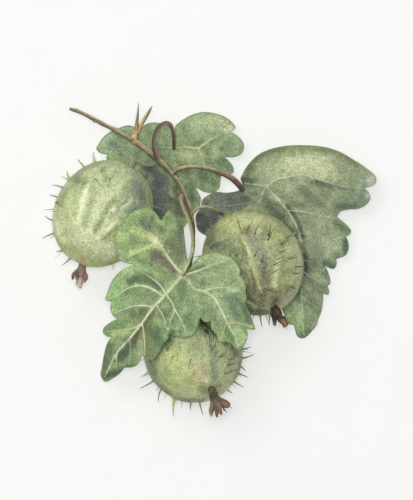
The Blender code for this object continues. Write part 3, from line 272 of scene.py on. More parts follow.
FRONT_VEINS = [
    [(-8.2, -3.6, 26.5), (-12.3, -8.3, 26.5), (-15.8, -12, 25.5), (-18.5, -15.8, 23), (-21.5, -19.5, 19.5),
     (-24.6, -23, 15), (-26.5, -26.5, 11), (-27.7, -29.2, 7.8)],
    [(-8.2, -3.6, 26.5), (-10.5, -1, 26.2), (-12.5, 2, 25.6), (-14.3, 4.5, 25), (-16, 6.5, 24.7),
     (-19.5, 8, 24), (-22.6, 8.4, 23.2)],
    [(-14.3, 4.5, 25), (-17, 3.3, 24.6), (-19.5, 2, 24), (-22.2, 0.6, 22.8)],
    [(-13.4, 3.3, 25.3), (-12.2, 6.5, 24.6), (-11.7, 11.3, 22.7)],
    [(-8.2, -3.6, 26.5), (-5.5, -2.9, 26.9), (-2.5, -1.8, 27.1), (-0.3, -0.8, 27), (3.6, 0.2, 26.6)],
    [(-8.2, -3.6, 26.5), (-6.5, -5.5, 26.8), (-5, -7.2, 27), (-3.2, -7.6, 27), (-0.5, -9.2, 27),
     (1.5, -12.5, 26.2), (2.9, -15.5, 25), (4.3, -18, 23.3), (5.8, -21.6, 20.5)],
    [(-3.2, -7.6, 27), (0, -6.8, 27), (3, -6.8, 26.8), (6.4, -7.8, 25.6)],
    [(2.9, -15.5, 25), (6, -15.6, 23.2), (9.2, -16.7, 20.8)],
    [(2.7, -15.5, 25), (2, -17.5, 24.4), (1.6, -19.6, 23.8)],
    [(-12.3, -8.3, 26.5), (-10.3, -12, 26), (-11.2, -15, 25.3), (-11.8, -17.6, 24.4)],
    [(-10.3, -12, 26), (-8.5, -15, 25.5), (-7.2, -18.2, 24.8)],
    [(-12.3, -8.3, 26.5), (-14, -6, 25.8), (-16.5, -4, 24.8), (-19.8, -2.2, 23.2)],
    [(-12.9, -8.9, 26.4), (-16, -7, 25.3), (-19, -6.2, 23.8), (-22, -7, 21.8), (-25, -9, 18.9),
     (-26.9, -9.7, 17.3)],
    [(-15.4, -11.6, 25.6), (-18, -11.2, 24.2), (-21, -11.5, 21.8), (-25.3, -13.2, 17.4)],
    [(-18.3, -15.5, 23.2), (-21, -17, 20.2), (-24, -17.4, 16.8), (-27.6, -17.9, 13.1)],
    [(-14.8, -11, 25.8), (-13, -14, 25.3), (-12.1, -17.2, 24.6)],
    [(-18.3, -15.5, 23.2), (-17.8, -19, 22.5), (-17.6, -23.6, 20.8)],
    [(-21.5, -19.5, 19.5), (-21.3, -22, 17.8), (-21.6, -25.9, 15)],
    [(-24.6, -23, 15), (-24.8, -25.6, 12.8), (-24.6, -27.8, 11.2)],
]
FRONT_PINS = [
    (-24, 0, 22.2), (-25.8, -5, 19.2), (-11.6, 12.5, 22.2), (-7.4, 3, 24.6), (-8.2, 8.8, 23.2), (-25, 5, 23),
    (-20.5, 12.3, 22.2), (-17, 13.2, 22.4), (-4, 1, 26.4), (0.5, 2, 25.8), (5, -0.4, 26), (7.7, -7, 24.8),
    (7.8, -10.4, 24.4), (8.9, -14, 22), (7.9, -18.5, 20), (0.5, -19.8, 23.5), (-5, -17.8, 24.8),
    (-15.5, -24.6, 20.6), (-28.5, -27, 9.8), (-20.4, -1.2, 23.6), (-3.8, -14.4, 25.8),
]
RIGHT_MARGIN = [
    [(6.2, 20.5), (6.7, 21.6), (7.6, 23.2), (9, 25), (11, 26.7), (14, 28), (18.2, 28.8), (22, 28.9),
     (27, 28.5), (31, 27.3), (35, 25), (38, 23), (40, 21.2), (40.3, 19.8), (39.3, 18.7)],
    [(37.3, 18.2), (38.4, 17), (38.8, 15.5), (37.8, 14), (36, 13), (33, 12.7), (31.3, 12.2)],
    [(30.4, 11), (31.6, 10), (33, 8.8), (34, 7.5), (33.8, 6.7)],
    [(32.8, 6), (33.4, 4.2), (33.3, 2.5), (32.5, 1.2), (31, 0.6)],
    [(30.3, 0.3), (30.4, -1), (29.7, -2.1), (28.5, -1.9)], [(27.4, -1.3), (28.3, -3), (28.8, -5.8)],
    [(28.1, -6.4), (28.5, -7.5), (28.3, -8.6)], [(27, -8.4), (27, -10), (26.5, -13)],
    [(25.8, -14.8), (25.4, -16.2), (24.3, -17.6), (23, -19), (21.8, -19.6), (20.5, -19), (20, -17.5)],
    [(19.6, -16.2), (18.5, -16), (17.7, -15.3), (17.3, -13.8), (15.9, -10.4), (15, -5), (12.8, -1)],
    [(10, 3), (7, 2.6), (3, 4), (0, 5), (-2.2, 6.1), (-4.4, 7.6), (-5, 10), (-4.9, 11.5)],
    [(-3.7, 13.2), (-3.3, 15.3), (-2, 16.3), (0, 17.2), (2.5, 17), (5, 17.3), (6.4, 18), (6.6, 19.2)],
]
RIGHT_VEINS = [
    [(7.4, 19.3, 11.6), (10, 19, 11.5), (12.6, 18.7, 11.5), (15, 20.2, 12.8), (18.5, 21, 14),
     (21.5, 21.5, 14.6), (25.5, 20.4, 14.4), (30, 19, 12.5), (34, 18.2, 10.6), (37, 18.1, 9)],
    [(24, 20.9, 14.5), (25.5, 17.5, 12.2), (27.2, 14.2, 9.2)],
    [(18.5, 21, 14), (20.5, 24, 11.5), (24, 27.4, 7.6)],
    [(12.6, 18.7, 11.5), (13.4, 22.5, 10), (15.5, 27, 6.8)],
    [(28, 19.7, 13.4), (31, 22.5, 10.5), (34.4, 24.4, 7.2)],
    [(12.6, 18.7, 11.5), (15, 16, 10.6), (17, 13.7, 9.5), (19, 11, 7.8), (20.5, 8, 6.2), (21.5, 4.5, 4.6),
     (22, 0, 3.4), (22, -4, 2.9), (21.6, -8, 2.5), (21.8, -13, 2), (22.2, -18.6, 1.5)],
    [(17.9, 12.6, 8.8), (22, 12.2, 8.2), (26, 11.3, 7.3), (29.8, 10.2, 6.4)],
    [(20.9, 6.8, 5.6), (25, 6.4, 5.2), (29, 4.6, 4.2), (32.2, 4, 3.4)],
    [(22, -2.8, 3), (24.5, -4.5, 2.6), (27.5, -6.2, 2)],
    [(21.7, -9, 2.4), (24.6, -11.3, 2), (26.3, -13.4, 1.7)],
    [(21.6, -11, 2.2), (19.5, -12.8, 1.8), (18.4, -14.4, 1.4)],
    [(12.6, 18.7, 11.5), (11.6, 16, 9.6), (9, 11, 6.2), (5, 7.5, 2.8)],
    [(12.2, 17.4, 10.6), (8.5, 14.6, 8.6), (4, 13.8, 7), (-0.5, 13.8, 5.6), (-3.2, 14.6, 5.4)],
    [(4, 13.8, 7), (1, 11.4, 5.2), (-3, 9.8, 4.2)],
]
RIGHT_PINS = [
    (11, 26.7, 6), (18, 28.7, 6.5), (27, 28.5, 7), (35, 25, 6.5), (40, 20.5, 5.5), (33, 12.7, 6.2),
    (38.8, 15.5, 5.6), (34, 7.5, 3.6), (33.3, 2.6, 3), (30, -1, 2.2), (28.4, -7.5, 2), (21.8, -19.6, 1.4),
    (15.6, -6, 0.4), (12.8, -1, 0), (17, -1, 0.2), (18.6, 3, 1.4), (10.5, 4, 0.2), (14, 3.6, 0.6),
    (14, 9.6, 5), (3, 4, 0.9), (-2.5, 7, 3), (0, 17.2, 5.6), (5, 16.9, 8.4), (-3.3, 15.3, 5.4),
    (7.6, 22.5, 9.6), (18.4, -13, 0.9),
]
TOP_MARGIN = [
    [(-10.9, 33.2), (-12, 34), (-14, 34.5), (-16, 34.6), (-17.6, 34.1)],
    [(-19, 32.8), (-20.5, 33.6), (-22, 33.9), (-23.6, 33.5)],
    [(-25, 32.8), (-26.6, 32.2), (-28.1, 31), (-29.3, 29.3), (-29.9, 28), (-29, 27)],
    [(-27.1, 26.5), (-27.4, 25.5), (-25.2, 22.8), (-22.4, 21), (-19.8, 20.4)],
    [(-18.6, 19.6), (-18.7, 16.4), (-18.2, 13), (-17, 10.2), (-15.6, 8.3), (-13.8, 7.6), (-12.6, 8.4)],
    [(-11.8, 9.4), (-10.8, 8.2), (-9.4, 7.6), (-8, 8.2), (-6.4, 10.8), (-5.2, 12.8), (-4, 13.8),
     (-3.7, 15.6), (-4.3, 17)],
    [(-5, 18.3), (-4.2, 17.9), (-2.5, 17.1), (-0.7, 17), (0.8, 17.9), (1.2, 19.6)],
    [(1.4, 21.2), (3.4, 21.4), (4.5, 22.2), (4.3, 23.7), (3.3, 25)],
    [(2.3, 25.9), (4.5, 25.9), (6.3, 26.6), (7.1, 28), (7, 29.4), (5.8, 31)],
    [(3.9, 32.3), (5, 33.3), (3.8, 35), (2, 36.2), (-1, 37.1), (-3.5, 37.2), (-6, 36.5), (-8.5, 35.1),
     (-10.1, 33.6)],
    [(-10.2, 31.5), (-10.3, 29.2)], [(-10.6, 29.2), (-10.8, 31.5)],
]
TOP_VEINS = [
    [(-10.4, 28.2, 6.2), (-7, 28.4, 6.4), (-4.4, 28.2, 6.4), (-2, 29.8, 6), (0.5, 31.2, 5.4),
     (4, 33.2, 3.7)],
    [(-4.4, 28.2, 6.4), (-3.5, 26.3, 6), (-3, 24.5, 5.4), (-1.5, 21, 4), (-1, 17.6, 2.8)],
    [(-3.2, 25.9, 5.9), (0, 25.6, 5), (3.8, 23.4, 3.4)], [(-2.6, 29.3, 6.1), (1.5, 28.6, 5), (6.4, 28, 3.4)],
    [(-8.6, 28.3, 6.3), (-6.5, 31.5, 5.6), (-4.8, 35.9, 4.2)],
    [(-1.2, 30.3, 5.8), (-1.4, 33.5, 5), (-0.6, 36.5, 4)],
    [(-10.4, 28.2, 6.2), (-14, 28.4, 5.6), (-18, 28.6, 4.8), (-23, 28.8, 4), (-29, 28.6, 3.2)],
    [(-12.6, 28.3, 5.9), (-14.4, 31, 5.2), (-15.6, 34, 4.2)],
    [(-18, 28.6, 4.8), (-20.4, 31, 4.3), (-21.8, 33.4, 3.7)],
    [(-10.4, 28.2, 6.2), (-11.4, 24, 5.4), (-12.6, 19, 4), (-13.8, 13.6, 2.4), (-14.4, 9.4, 1.5)],
    [(-10.8, 26.4, 5.9), (-9.2, 21.5, 4.8), (-8.2, 16, 3.4), (-7.9, 10, 2)],
    [(-9.1, 21.2, 4.7), (-6.6, 18.6, 3.9), (-4.6, 15.4, 2.8)],
    [(-12.4, 24.6, 5.3), (-15.5, 22.4, 4.3), (-18.6, 21, 2.8)],
]
TOP_PINS = [
    (-14, 34.5, 4.2), (-20.5, 33.6, 3.8), (-29.9, 28, 3), (-27.4, 25.5, 2.6), (-25, 23, 1.8), (-22, 21, 1.8),
    (-18.6, 19.6, 2.2), (-18.4, 15, 1.6), (-17, 10.2, 1.2), (-14, 8, 1.2), (-8, 8.4, 1.6), (-3.7, 15.6, 2.4),
    (1.2, 19.6, 2.8), (-8.5, 35.1, 4.4), (4.5, 22.2, 3), (7.1, 28, 3.2), (5, 33.3, 3.4), (-10.4, 33.4, 5),
    (2.3, 25.9, 4.4), (-3.5, 37.2, 3.8),
]
LEAVES = {
    "front": {"margin": FRONT_MARGIN, "veins": FRONT_VEINS, "pins": FRONT_PINS},
    "right": {"margin": RIGHT_MARGIN, "veins": RIGHT_VEINS, "pins": RIGHT_PINS},
    "top": {"margin": TOP_MARGIN, "veins": TOP_VEINS, "pins": TOP_PINS},
}

# Bristles drawn on the upper face: root (x, y), tip (x, y) and how far the tip stands off.
FACE_BRISTLES = {
    "left": [
        ((-26.2, 20.5), (-26.8, 18.5), 0.7), ((-30.2, 20.4), (-28, 17.8), 0.7),
        ((-22, 14.9), (-25, 12.9), 0.5), ((-39.6, 14.6), (-37.3, 13), 0.6),
    ],
    "right": [
        ((5.5, 10), (6.7, 6.2), 0.6), ((9.6, 6.3), (10.6, 8.6), 0.8), ((13, 5), (14.4, 8), 0.8),
        ((16.2, 4), (18.5, 5.3), 0.8), ((15.9, 1.9), (18.1, 3), 0.8), ((18.8, 3.2), (20.9, 3.9), 0.9),
        ((19.8, 1.2), (22.1, 1.8), 0.9), ((19.8, -1.6), (22, -1.4), 0.9), ((14.2, -1.2), (16.6, 0), 0.8),
        ((14.1, -3), (16.2, -2), 0.8), ((9.6, 1), (10.8, 3.1), 0.8), ((-1.2, 2.9), (2, 4.6), 0.7),
        ((4.9, 1), (6.4, 2.3), 0.7), ((13, -7.1), (15.5, -8), 0.7), ((-0.9, 5.3), (-3.4, 7), 0.3),
        ((18.6, -6.4), (20.2, -7.2), 0.8), ((11.5, -0.4), (12, 2), 0.8), ((17.6, 7.2), (19, 8.2), 0.8),
        ((13.2, 6.2), (13.6, 9.2), 0.8), ((17.4, 5.4), (19.4, 6.4), 0.8), ((15.2, 0.2), (17.4, 1.4), 0.8),
        ((19.2, -3.2), (21.3, -3), 0.9), ((18.2, 0.4), (20.3, 1), 0.9), ((7.9, 7.4), (9, 9.4), 0.7),
    ],
    "bottom": [
        ((2, -28.1), (4.4, -27.5), 0.8), ((3, -26.1), (5.2, -25.2), 0.8), ((0.6, -24.3), (2.1, -22.7), 0.7),
        ((-1.1, -22.5), (-0.2, -20.9), 0.6), ((-6.2, -24.4), (-6.5, -26.3), 0.5),
        ((-10.4, -23.6), (-11.3, -25.4), 0.5), ((1.3, -24.2), (2.9, -22), 0.7),
        ((2.2, -23.1), (3.9, -21.3), 0.7), ((3.6, -27.6), (5.5, -27), 0.8), ((3.4, -24.9), (5, -23.8), 0.8),
        ((-13.9, -21.9), (-12.7, -19.9), 0.6), ((-12.2, -22.6), (-11.2, -20.8), 0.6),
    ],
}

# Pale stripes from stalk to flower: angle round the fruit in degrees, half width, strength, and
# for a short stripe the shares of the way from stalk to flower where it starts and ends.
FRUIT_STRIPES = {
    "left": [
        (102, 0.55, 1, 0.42, 0.68), (84, 0.42, 0.75), (63, 0.5, 0.95), (40, 0.4, 0.6), (18, 0.4, 0.5),
        (124, 0.35, 0.45), (148, 0.4, 0.55), (176, 0.4, 0.5), (212, 0.45, 0.6), (247, 0.45, 0.6),
        (284, 0.45, 0.6), (322, 0.45, 0.6),
    ],
    "right": [
        (91, 0.36, 0.25, 0.36, 0.8), (114, 0.4, 0.35, 0.55, 0.85), (142, 0.45, 0.4), (62, 0.4, 0.35),
        (34, 0.4, 0.45), (168, 0.4, 0.5), (204, 0.45, 0.6), (240, 0.45, 0.6), (276, 0.45, 0.6),
        (312, 0.45, 0.6), (348, 0.4, 0.5),
    ],
    "bottom": [
        (84, 0.6, 0.8), (60, 0.45, 0.6), (106, 0.45, 0.55), (150, 0.4, 0.75), (36, 0.45, 0.5),
        (10, 0.45, 0.5), (178, 0.4, 0.5), (212, 0.45, 0.6), (248, 0.45, 0.6), (284, 0.45, 0.6),
        (320, 0.45, 0.6), (346, 0.4, 0.5),
    ],
}

# Finishes, as red, green and blue out of 255. "patches": a spot (x, y) or a stroke through
# several, its reach, colour and, where not PATCH_STRENGTH, strength, laid one over another.
PATCH_STRENGTH = 0.9
PATCH_RAGGEDNESS = 0.45
PATCH_WAVES = (0.9, 2.2)  # sizes of the waves in the outline of a small and a large patch
PAINTED_SIDE_STRENGTH = 0.9  # of the painted highlight and painted shade on the two sides of a stem
# The leaf patches mix the blades' own colour with painted shade and painted light: shadows cast by fruits,
# stems and other leaves, darker folds and lobes turned away, and lighter lobes facing up.
FRONT_LEAF_TINTS_AND_SHADING = [
    ((0, -4.6), 6.4, (156, 172, 128)), ((-0.6, -3.4), 3.2, (160, 176, 132), 0.7),
    ((2.6, -9.8), 2.6, (146, 166, 126), 0.8), ((3, -14.4), 2.6, (176, 190, 150), 0.8),
    ([(-24.8, -3.6), (-25.8, -8.2)], 2.2, (150, 184, 124), 0.95),
    ([(-22.4, -1.8), (-19.6, -1.8)], 1.3, (172, 194, 142)), ((-18, -1.4), 1.3, (156, 178, 126), 0.8),
    ((-13.6, -5.8), 1.1, (122, 142, 102), 0.8),
    ([(-21.6, -5.4), (-20, -4.6), (-16, -5.2), (-14.3, -6.6)], 0.95, (90, 112, 82), 0.95),
    ((-23, -6.3), 0.8, (168, 192, 142)), ([(-19, -3.5), (-15.8, -4)], 0.7, (112, 132, 96), 0.8),
    ([(-21.4, -8.4), (-17.4, -8.4), (-15, -9.4)], 1.1, (122, 144, 106)),
    ([(-22.6, -9.8), (-19.4, -9.4)], 0.9, (150, 172, 124), 0.8), ((-25.2, -12.2), 1.6, (148, 184, 118), 1),
    ((-20.6, -13.4), 1.35, (110, 132, 92), 0.95), ((-17.7, -12.9), 1.1, (104, 126, 88)),
    ((-22.8, -12.4), 1, (128, 152, 104), 0.7), ([(-27, -17.4), (-23.4, -16)], 1.3, (120, 150, 94), 1),
    ([(-25.6, -18.6), (-22, -18)], 0.6, (186, 202, 134)), ((-21.2, -15.6), 0.9, (150, 168, 112), 0.8),
    ((-22.2, -20), 0.9, (118, 122, 84), 0.8), ([(-18.9, -16.8), (-20.4, -20.2)], 1.05, (106, 104, 76), 0.95),
    ([(-21.6, -21.8), (-23.6, -24.4)], 1.3, (88, 106, 84), 0.95),
    ([(-26.4, -21.4), (-27.8, -26.6)], 1.2, (102, 122, 88), 0.95),
    ((-26.2, -24.8), 0.9, (124, 142, 104), 0.8),
    ([(-27.6, -29), (-24.6, -27.9), (-20.6, -26.4)], 0.9, (84, 102, 72), 0.95),
    ([(-20.6, -24.4), (-20, -25.8)], 1, (126, 150, 102), 0.8),
    ([(-17, -14.2), (-16.2, -18)], 1.6, (112, 122, 82)),
    ([(-16.2, -20.4), (-16.4, -24)], 1.7, (122, 140, 94)),
    ([(-14.4, -17.8), (-13.6, -21.4)], 1.3, (96, 118, 86)), ((-12.6, -13.6), 1.2, (106, 128, 92)),
    ((-13.4, -16.4), 0.9, (134, 156, 112), 0.7), ((-10.4, -15.6), 1.2, (118, 148, 106), 0.8),
    ((-10.8, -18), 0.9, (90, 106, 78)), ((-8.8, -18), 1, (108, 136, 98), 0.8),
    ([(-7, -14), (-6, -16.4)], 1.2, (112, 138, 102)), ((-7.6, -12.2), 1, (168, 184, 142)),
    ((-5.4, -12.4), 1.6, (134, 158, 118), 0.8), ((-3, -13.2), 1, (106, 128, 92), 0.8),
    ([(-8.4, -5.6), (-8.4, -8.8)], 1.2, (114, 136, 102), 0.95), ((-10.6, -9.4), 1.1, (112, 134, 100), 0.8),
    ((-6.4, -10.6), 1.3, (124, 146, 108), 0.8),
    ([(-7.6, -3.2), (-4.6, -1.9), (-3.2, -1.2)], 0.55, (94, 112, 78)),
    ([(-5.6, -4.6), (-3.6, -5.4)], 0.9, (122, 142, 104), 0.7),
    ([(-3.4, 0.4), (0.6, 1.3), (3, 0.8)], 0.8, (150, 168, 122)), ((4.6, -0.6), 1.6, (164, 182, 130)),
    ([(-2, -2.6), (2.4, -1.4)], 0.7, (134, 154, 112), 0.7),
    ([(3.2, -7.2), (5, -7.6)], 0.5, (196, 210, 172), 0.7),
    ([(3, -9.2), (5.6, -9.8)], 1.1, (118, 140, 110), 0.8), ((6.8, -5.8), 1, (160, 176, 130), 0.7),
    ([(4.2, -11.4), (5.4, -14)], 1.2, (116, 140, 106)),
    ([(7.2, -11.4), (8.2, -14.6)], 1, (98, 120, 94), 0.95),
    ([(-0.6, -8.2), (0.6, -11.4)], 1.1, (158, 178, 136)),
    ([(-1.4, -12.6), (0.4, -15.2)], 0.9, (122, 146, 106), 0.8), ((1.6, -14.2), 1, (160, 178, 134), 0.8),
    ([(5.4, -17.8), (7, -20)], 1.4, (178, 206, 150), 1), ([(2.8, -17.4), (4, -19.6)], 0.9, (116, 142, 96)),
    ((7.6, -17.4), 0.8, (150, 176, 126), 0.8), ((1, -18.4), 0.9, (150, 170, 126), 0.7),
    ((-8.3, -3.5), 1, (206, 204, 158)), ((-20.6, 10.6), 2.2, (140, 166, 106)),
    ((-22.8, 6), 2, (166, 188, 124)), ((-24, 3.4), 1.4, (146, 170, 110), 0.8),
    ((-20.6, 5.2), 1.4, (126, 148, 100)), ((-16.4, 12), 1.4, (132, 158, 102), 0.8),
    ([(-18.2, 9.8), (-17, 8.6)], 1.3, (100, 116, 92), 0.95), ((-14.4, 8.4), 1, (124, 132, 98)),
    ((-15.6, 10.6), 0.9, (112, 128, 92), 0.8), ((-13.4, 7.8), 1.1, (122, 124, 98)),
    ((-11.2, 10.8), 1.6, (112, 140, 94), 0.95), ((-13.4, 11), 0.7, (98, 124, 86), 0.8),
    ((-9.8, 7.4), 1, (128, 144, 100), 0.8), ([(-9, 10.2), (-8.4, 7.6)], 0.9, (90, 102, 76)),
    ((-12.2, 6), 1.1, (132, 142, 104), 0.7), ([(-8.8, 6.4), (-8.4, 2.6)], 1.1, (94, 108, 78)),
    ([(-11.4, 4.4), (-9, 0.4)], 1.4, (114, 120, 90), 0.95),
    ([(-14.8, 1.6), (-12.8, -0.2)], 1.45, (108, 103, 90), 0.95),
    ([(-12.4, -0.6), (-10.4, -2.5)], 1.2, (126, 120, 102)),
    ([(-17.4, 0.4), (-15, -1.6), (-12.8, -3.2)], 0.8, (128, 144, 100), 0.8),
    ((-12.2, -4.4), 1.1, (120, 140, 100), 0.8), ([(-20.4, 0.6), (-18, -0.4)], 0.8, (128, 152, 98), 0.8),
    ([(-15.2, 5.6), (-19, 6.8), (-21, 7.4)], 0.55, (192, 204, 138)),
    ([(-15.4, 3.6), (-18.4, 2.8), (-21.4, 1.6)], 0.6, (188, 202, 134)),
    ([(-15.4, 5.2), (-14.2, 3.6)], 0.85, (212, 214, 160), 1),
    ([(-13.6, 2.8), (-10.4, -0.9), (-8.8, -2.8)], 0.3, (184, 186, 144)),
]
RIGHT_LEAF_TINTS_AND_SHADING = [
    ([(18.6, 24.2), (24, 24.4), (27.4, 23.6)], 2.4, (200, 208, 164), 1),
    ([(24, 21.7), (29.6, 20.6)], 0.8, (196, 202, 154), 0.7), ((33.6, 19.4), 2, (142, 154, 114)),
    ((36.6, 20.2), 1.2, (146, 166, 136), 0.95), ((39.2, 19.6), 1.4, (208, 216, 194), 0.97),
    ((13.4, 22.4), 1.9, (170, 182, 142)),
    ([(8.2, 22.4), (10, 25.4), (14, 27.2), (18, 28)], 1.1, (112, 124, 90), 0.95),
    ([(18, 28.2), (24, 28.4), (30, 27), (35.4, 24)], 0.9, (136, 148, 104)),
    ([(11.6, 24.8), (16, 26.6), (22, 27.2)], 0.9, (150, 162, 118), 0.7),
    ([(14.6, 20.6), (17.6, 21.6)], 0.6, (190, 196, 150), 0.7), ((9.8, 20.8), 1.1, (124, 136, 108), 0.8),
    ([(6.8, 20.2), (8.6, 19.6)], 1.3, (76, 90, 70), 0.97),
    ([(24.6, 19.6), (29.4, 18.2), (34.4, 17.3)], 0.75, (100, 112, 92), 0.92),
    ((17.6, 17), 2.4, (172, 186, 150)), ([(15.2, 18.6), (19.6, 19.6)], 0.8, (150, 162, 130), 0.7),
    ([(22, 17.6), (24.6, 15.4)], 1.1, (128, 142, 112), 0.8), ((29.6, 16), 2.4, (156, 168, 136)),
    ((33.4, 16.2), 1.5, (142, 158, 126), 0.8), ((36.6, 15.4), 1.3, (138, 154, 132)),
    ((38.3, 16.4), 1, (206, 214, 192), 0.95), ([(30.6, 13.4), (34.8, 13.8)], 0.8, (104, 122, 98)),
    ((26.2, 14.4), 1.1, (116, 130, 102), 0.8),
    ([(20.6, 14), (25.6, 13), (29.6, 11.8)], 0.9, (150, 164, 130), 0.8), ((9.4, 16.4), 1.4, (144, 158, 132)),
    ((12.8, 14.6), 1.3, (126, 138, 114)), ([(6, 17.4), (2.6, 16.6), (-1, 16.4)], 0.9, (108, 120, 110)),
    ([(7.4, 15), (3.8, 15.2), (0, 14.8)], 1.4, (108, 118, 110), 0.95),
    ([(5.6, 13.4), (1.6, 13)], 1.1, (108, 118, 106)), ((-2.2, 14.4), 1.2, (104, 112, 104)),
    ((-0.4, 12.2), 1, (140, 146, 122)), ([(-3.4, 12.6), (-1.6, 12.4)], 0.5, (118, 128, 110), 0.7),
    ([(-3.6, 10.8), (-2, 9), (-3, 8.2)], 1.7, (80, 86, 92), 0.97),
    ([(-1, 11), (0.6, 9.6)], 1.3, (90, 96, 98), 0.95),
    ([(13.4, 13.6), (16.4, 11), (18.4, 7.6), (19.6, 4.4)], 1.15, (110, 122, 104), 1),
    ([(18, 13.6), (20.8, 9.6), (22, 5.6)], 0.55, (98, 110, 94)), ((20.6, 2.4), 1.1, (88, 102, 92)),
    ((24, 9.6), 1.5, (140, 152, 122), 0.8), ((27.6, 8.6), 1.3, (150, 164, 128), 0.8),
    ([(30.2, 9.4), (32.8, 7.6)], 0.9, (112, 134, 102)), ((28.8, 4.6), 2.3, (168, 180, 142), 0.95),
    ((25, 4.8), 1.5, (142, 154, 124), 0.8), ((25.6, 1.6), 1.4, (132, 146, 114), 0.8),
    ([(32.6, 5), (32.6, 2.2)], 0.75, (88, 112, 86), 0.95), ((30.4, 1.2), 0.9, (112, 134, 100), 0.8),
    ([(22.4, 1), (22.6, -3)], 1.1, (84, 96, 88), 0.95), ((24.8, -0.8), 1.3, (104, 118, 104)),
    ([(27.4, -0.6), (29.4, -1.4)], 0.8, (94, 118, 92)), ((27.4, -3.4), 0.9, (118, 134, 112), 0.7),
    ([(23.4, -5.2), (26.6, -7.4)], 1.1, (134, 146, 122)), ((24.4, -8.6), 1, (150, 162, 134), 0.8),
    ([(23.6, -10.2), (25.6, -13)], 1.1, (130, 148, 112)), ((25.8, -11.4), 0.8, (142, 158, 122), 0.7),
    ([(20.4, -4.8), (20.4, -9.4)], 0.9, (104, 124, 98)), ((23.6, -15), 1.1, (132, 150, 114), 0.8),
    ([(20.8, -12.8), (19.6, -15.6)], 1.5, (176, 198, 146), 1), ((18.4, -14.4), 1.1, (184, 200, 154), 0.95),
    ([(23.4, -17.6), (21.6, -18.8)], 0.8, (120, 142, 102)), ((21, -17.2), 0.8, (154, 176, 122)),
]
TOP_LEAF_TINTS_AND_SHADING = [
    ([(-3.8, 33.6), (-1.2, 34.4)], 2.1, (178, 192, 148), 1),
    ([(-1, 35.4), (2.6, 34.4)], 0.7, (184, 196, 152), 0.8),
    ([(-8.2, 34), (-6.2, 30.4)], 1.2, (132, 150, 108), 0.8), ((-3, 31.6), 1.5, (148, 164, 122), 0.8),
    ((0.8, 32.4), 1.2, (158, 174, 130), 0.8), ([(1.6, 31.6), (2.8, 32)], 0.6, (128, 148, 108), 0.8),
    ((3.6, 33), 1.2, (208, 216, 176), 0.97), ((3.4, 30.6), 1.3, (140, 158, 122), 0.8),
    ((6, 28.8), 1.1, (148, 166, 136)), ([(1.6, 27.4), (4.4, 27)], 0.9, (124, 142, 112), 0.8),
    ([(0.6, 25), (3, 25.4)], 0.75, (98, 122, 96)), ((-0.6, 27), 1.5, (166, 182, 138)),
    ([(-7.6, 26.6), (-4.2, 26.2)], 1.4, (182, 194, 146), 0.95), ((-8.6, 28.8), 0.9, (152, 166, 114), 0.8),
    ([(-5.6, 29.2), (-3, 30)], 0.6, (118, 136, 96), 0.8), ((-12.4, 31.4), 1.4, (140, 158, 116)),
    ((-13.2, 28), 1.2, (124, 142, 106), 0.8), ((-16.8, 32.6), 1.3, (120, 142, 104)),
    ((-22.4, 32.2), 1.4, (128, 150, 120)), ([(-24.2, 33), (-20.8, 32.8)], 0.5, (156, 174, 140), 0.7),
    ([(-26.6, 31), (-28.6, 28.8)], 0.9, (166, 182, 156)), ((-25.4, 28.8), 1.3, (112, 134, 122)),
    ((-22.4, 28.6), 1.4, (132, 152, 124), 0.8), ((-27.6, 27.4), 0.7, (140, 158, 132), 0.8),
    ((-22.8, 25), 1.8, (136, 152, 122), 0.8), ((-19.6, 27), 1.2, (120, 138, 110), 0.8),
    ((-25.6, 24.4), 1, (122, 140, 108), 0.8), ([(-18, 23.6), (-16.6, 24.4)], 1.3, (124, 138, 116), 0.95),
    ((-20.6, 22.8), 1.2, (170, 182, 146), 0.95), ([(-16, 22.6), (-13.4, 20.4)], 1.5, (92, 100, 94), 0.95),
    ((-17.4, 21), 0.9, (102, 116, 106)),
    ([(-14.2, 18.8), (-14.4, 15.4), (-13.8, 12)], 2.4, (100, 104, 106), 0.97),
    ((-11.2, 15), 1.1, (94, 94, 84), 0.95), ([(-9.8, 14.6), (-8.8, 11.6)], 1, (98, 100, 86)),
    ([(-10.4, 18.2), (-9.6, 16.4)], 0.8, (92, 96, 78)), ((-12, 23.4), 1, (104, 110, 84)),
    ([(-8.4, 23.6), (-6.6, 22.2)], 0.9, (114, 128, 92), 0.8),
    ([(-6.4, 18.8), (-5.6, 15.4)], 1.1, (104, 124, 96)), ((-4.8, 14), 0.8, (122, 142, 110), 0.8),
    ((-3.4, 22), 1.5, (118, 138, 104)), ([(-2, 20.8), (-0.4, 19.4)], 1.1, (104, 124, 92)),
    ((-3.2, 18.8), 0.8, (108, 130, 98), 0.8), ([(1.6, 24.2), (3.6, 23)], 0.9, (112, 134, 104)),
    ((0.4, 22), 1, (106, 128, 96)), ([(-2.4, 27.8), (-1.2, 24.6)], 0.5, (122, 138, 94), 0.7),
]
LEAF_TINTS = {
    "front": {"base": (148, 168, 120), "under": (160, 174, 138), "edge": 0.1, "patches": FRONT_LEAF_TINTS_AND_SHADING},
    "right": {
        "base": (156, 168, 134), "under": (158, 170, 140), "edge": -0.1, "patches": RIGHT_LEAF_TINTS_AND_SHADING,
    },
    "top": {"base": (146, 162, 124), "under": (158, 172, 138), "edge": 0.08, "patches": TOP_LEAF_TINTS_AND_SHADING},
}
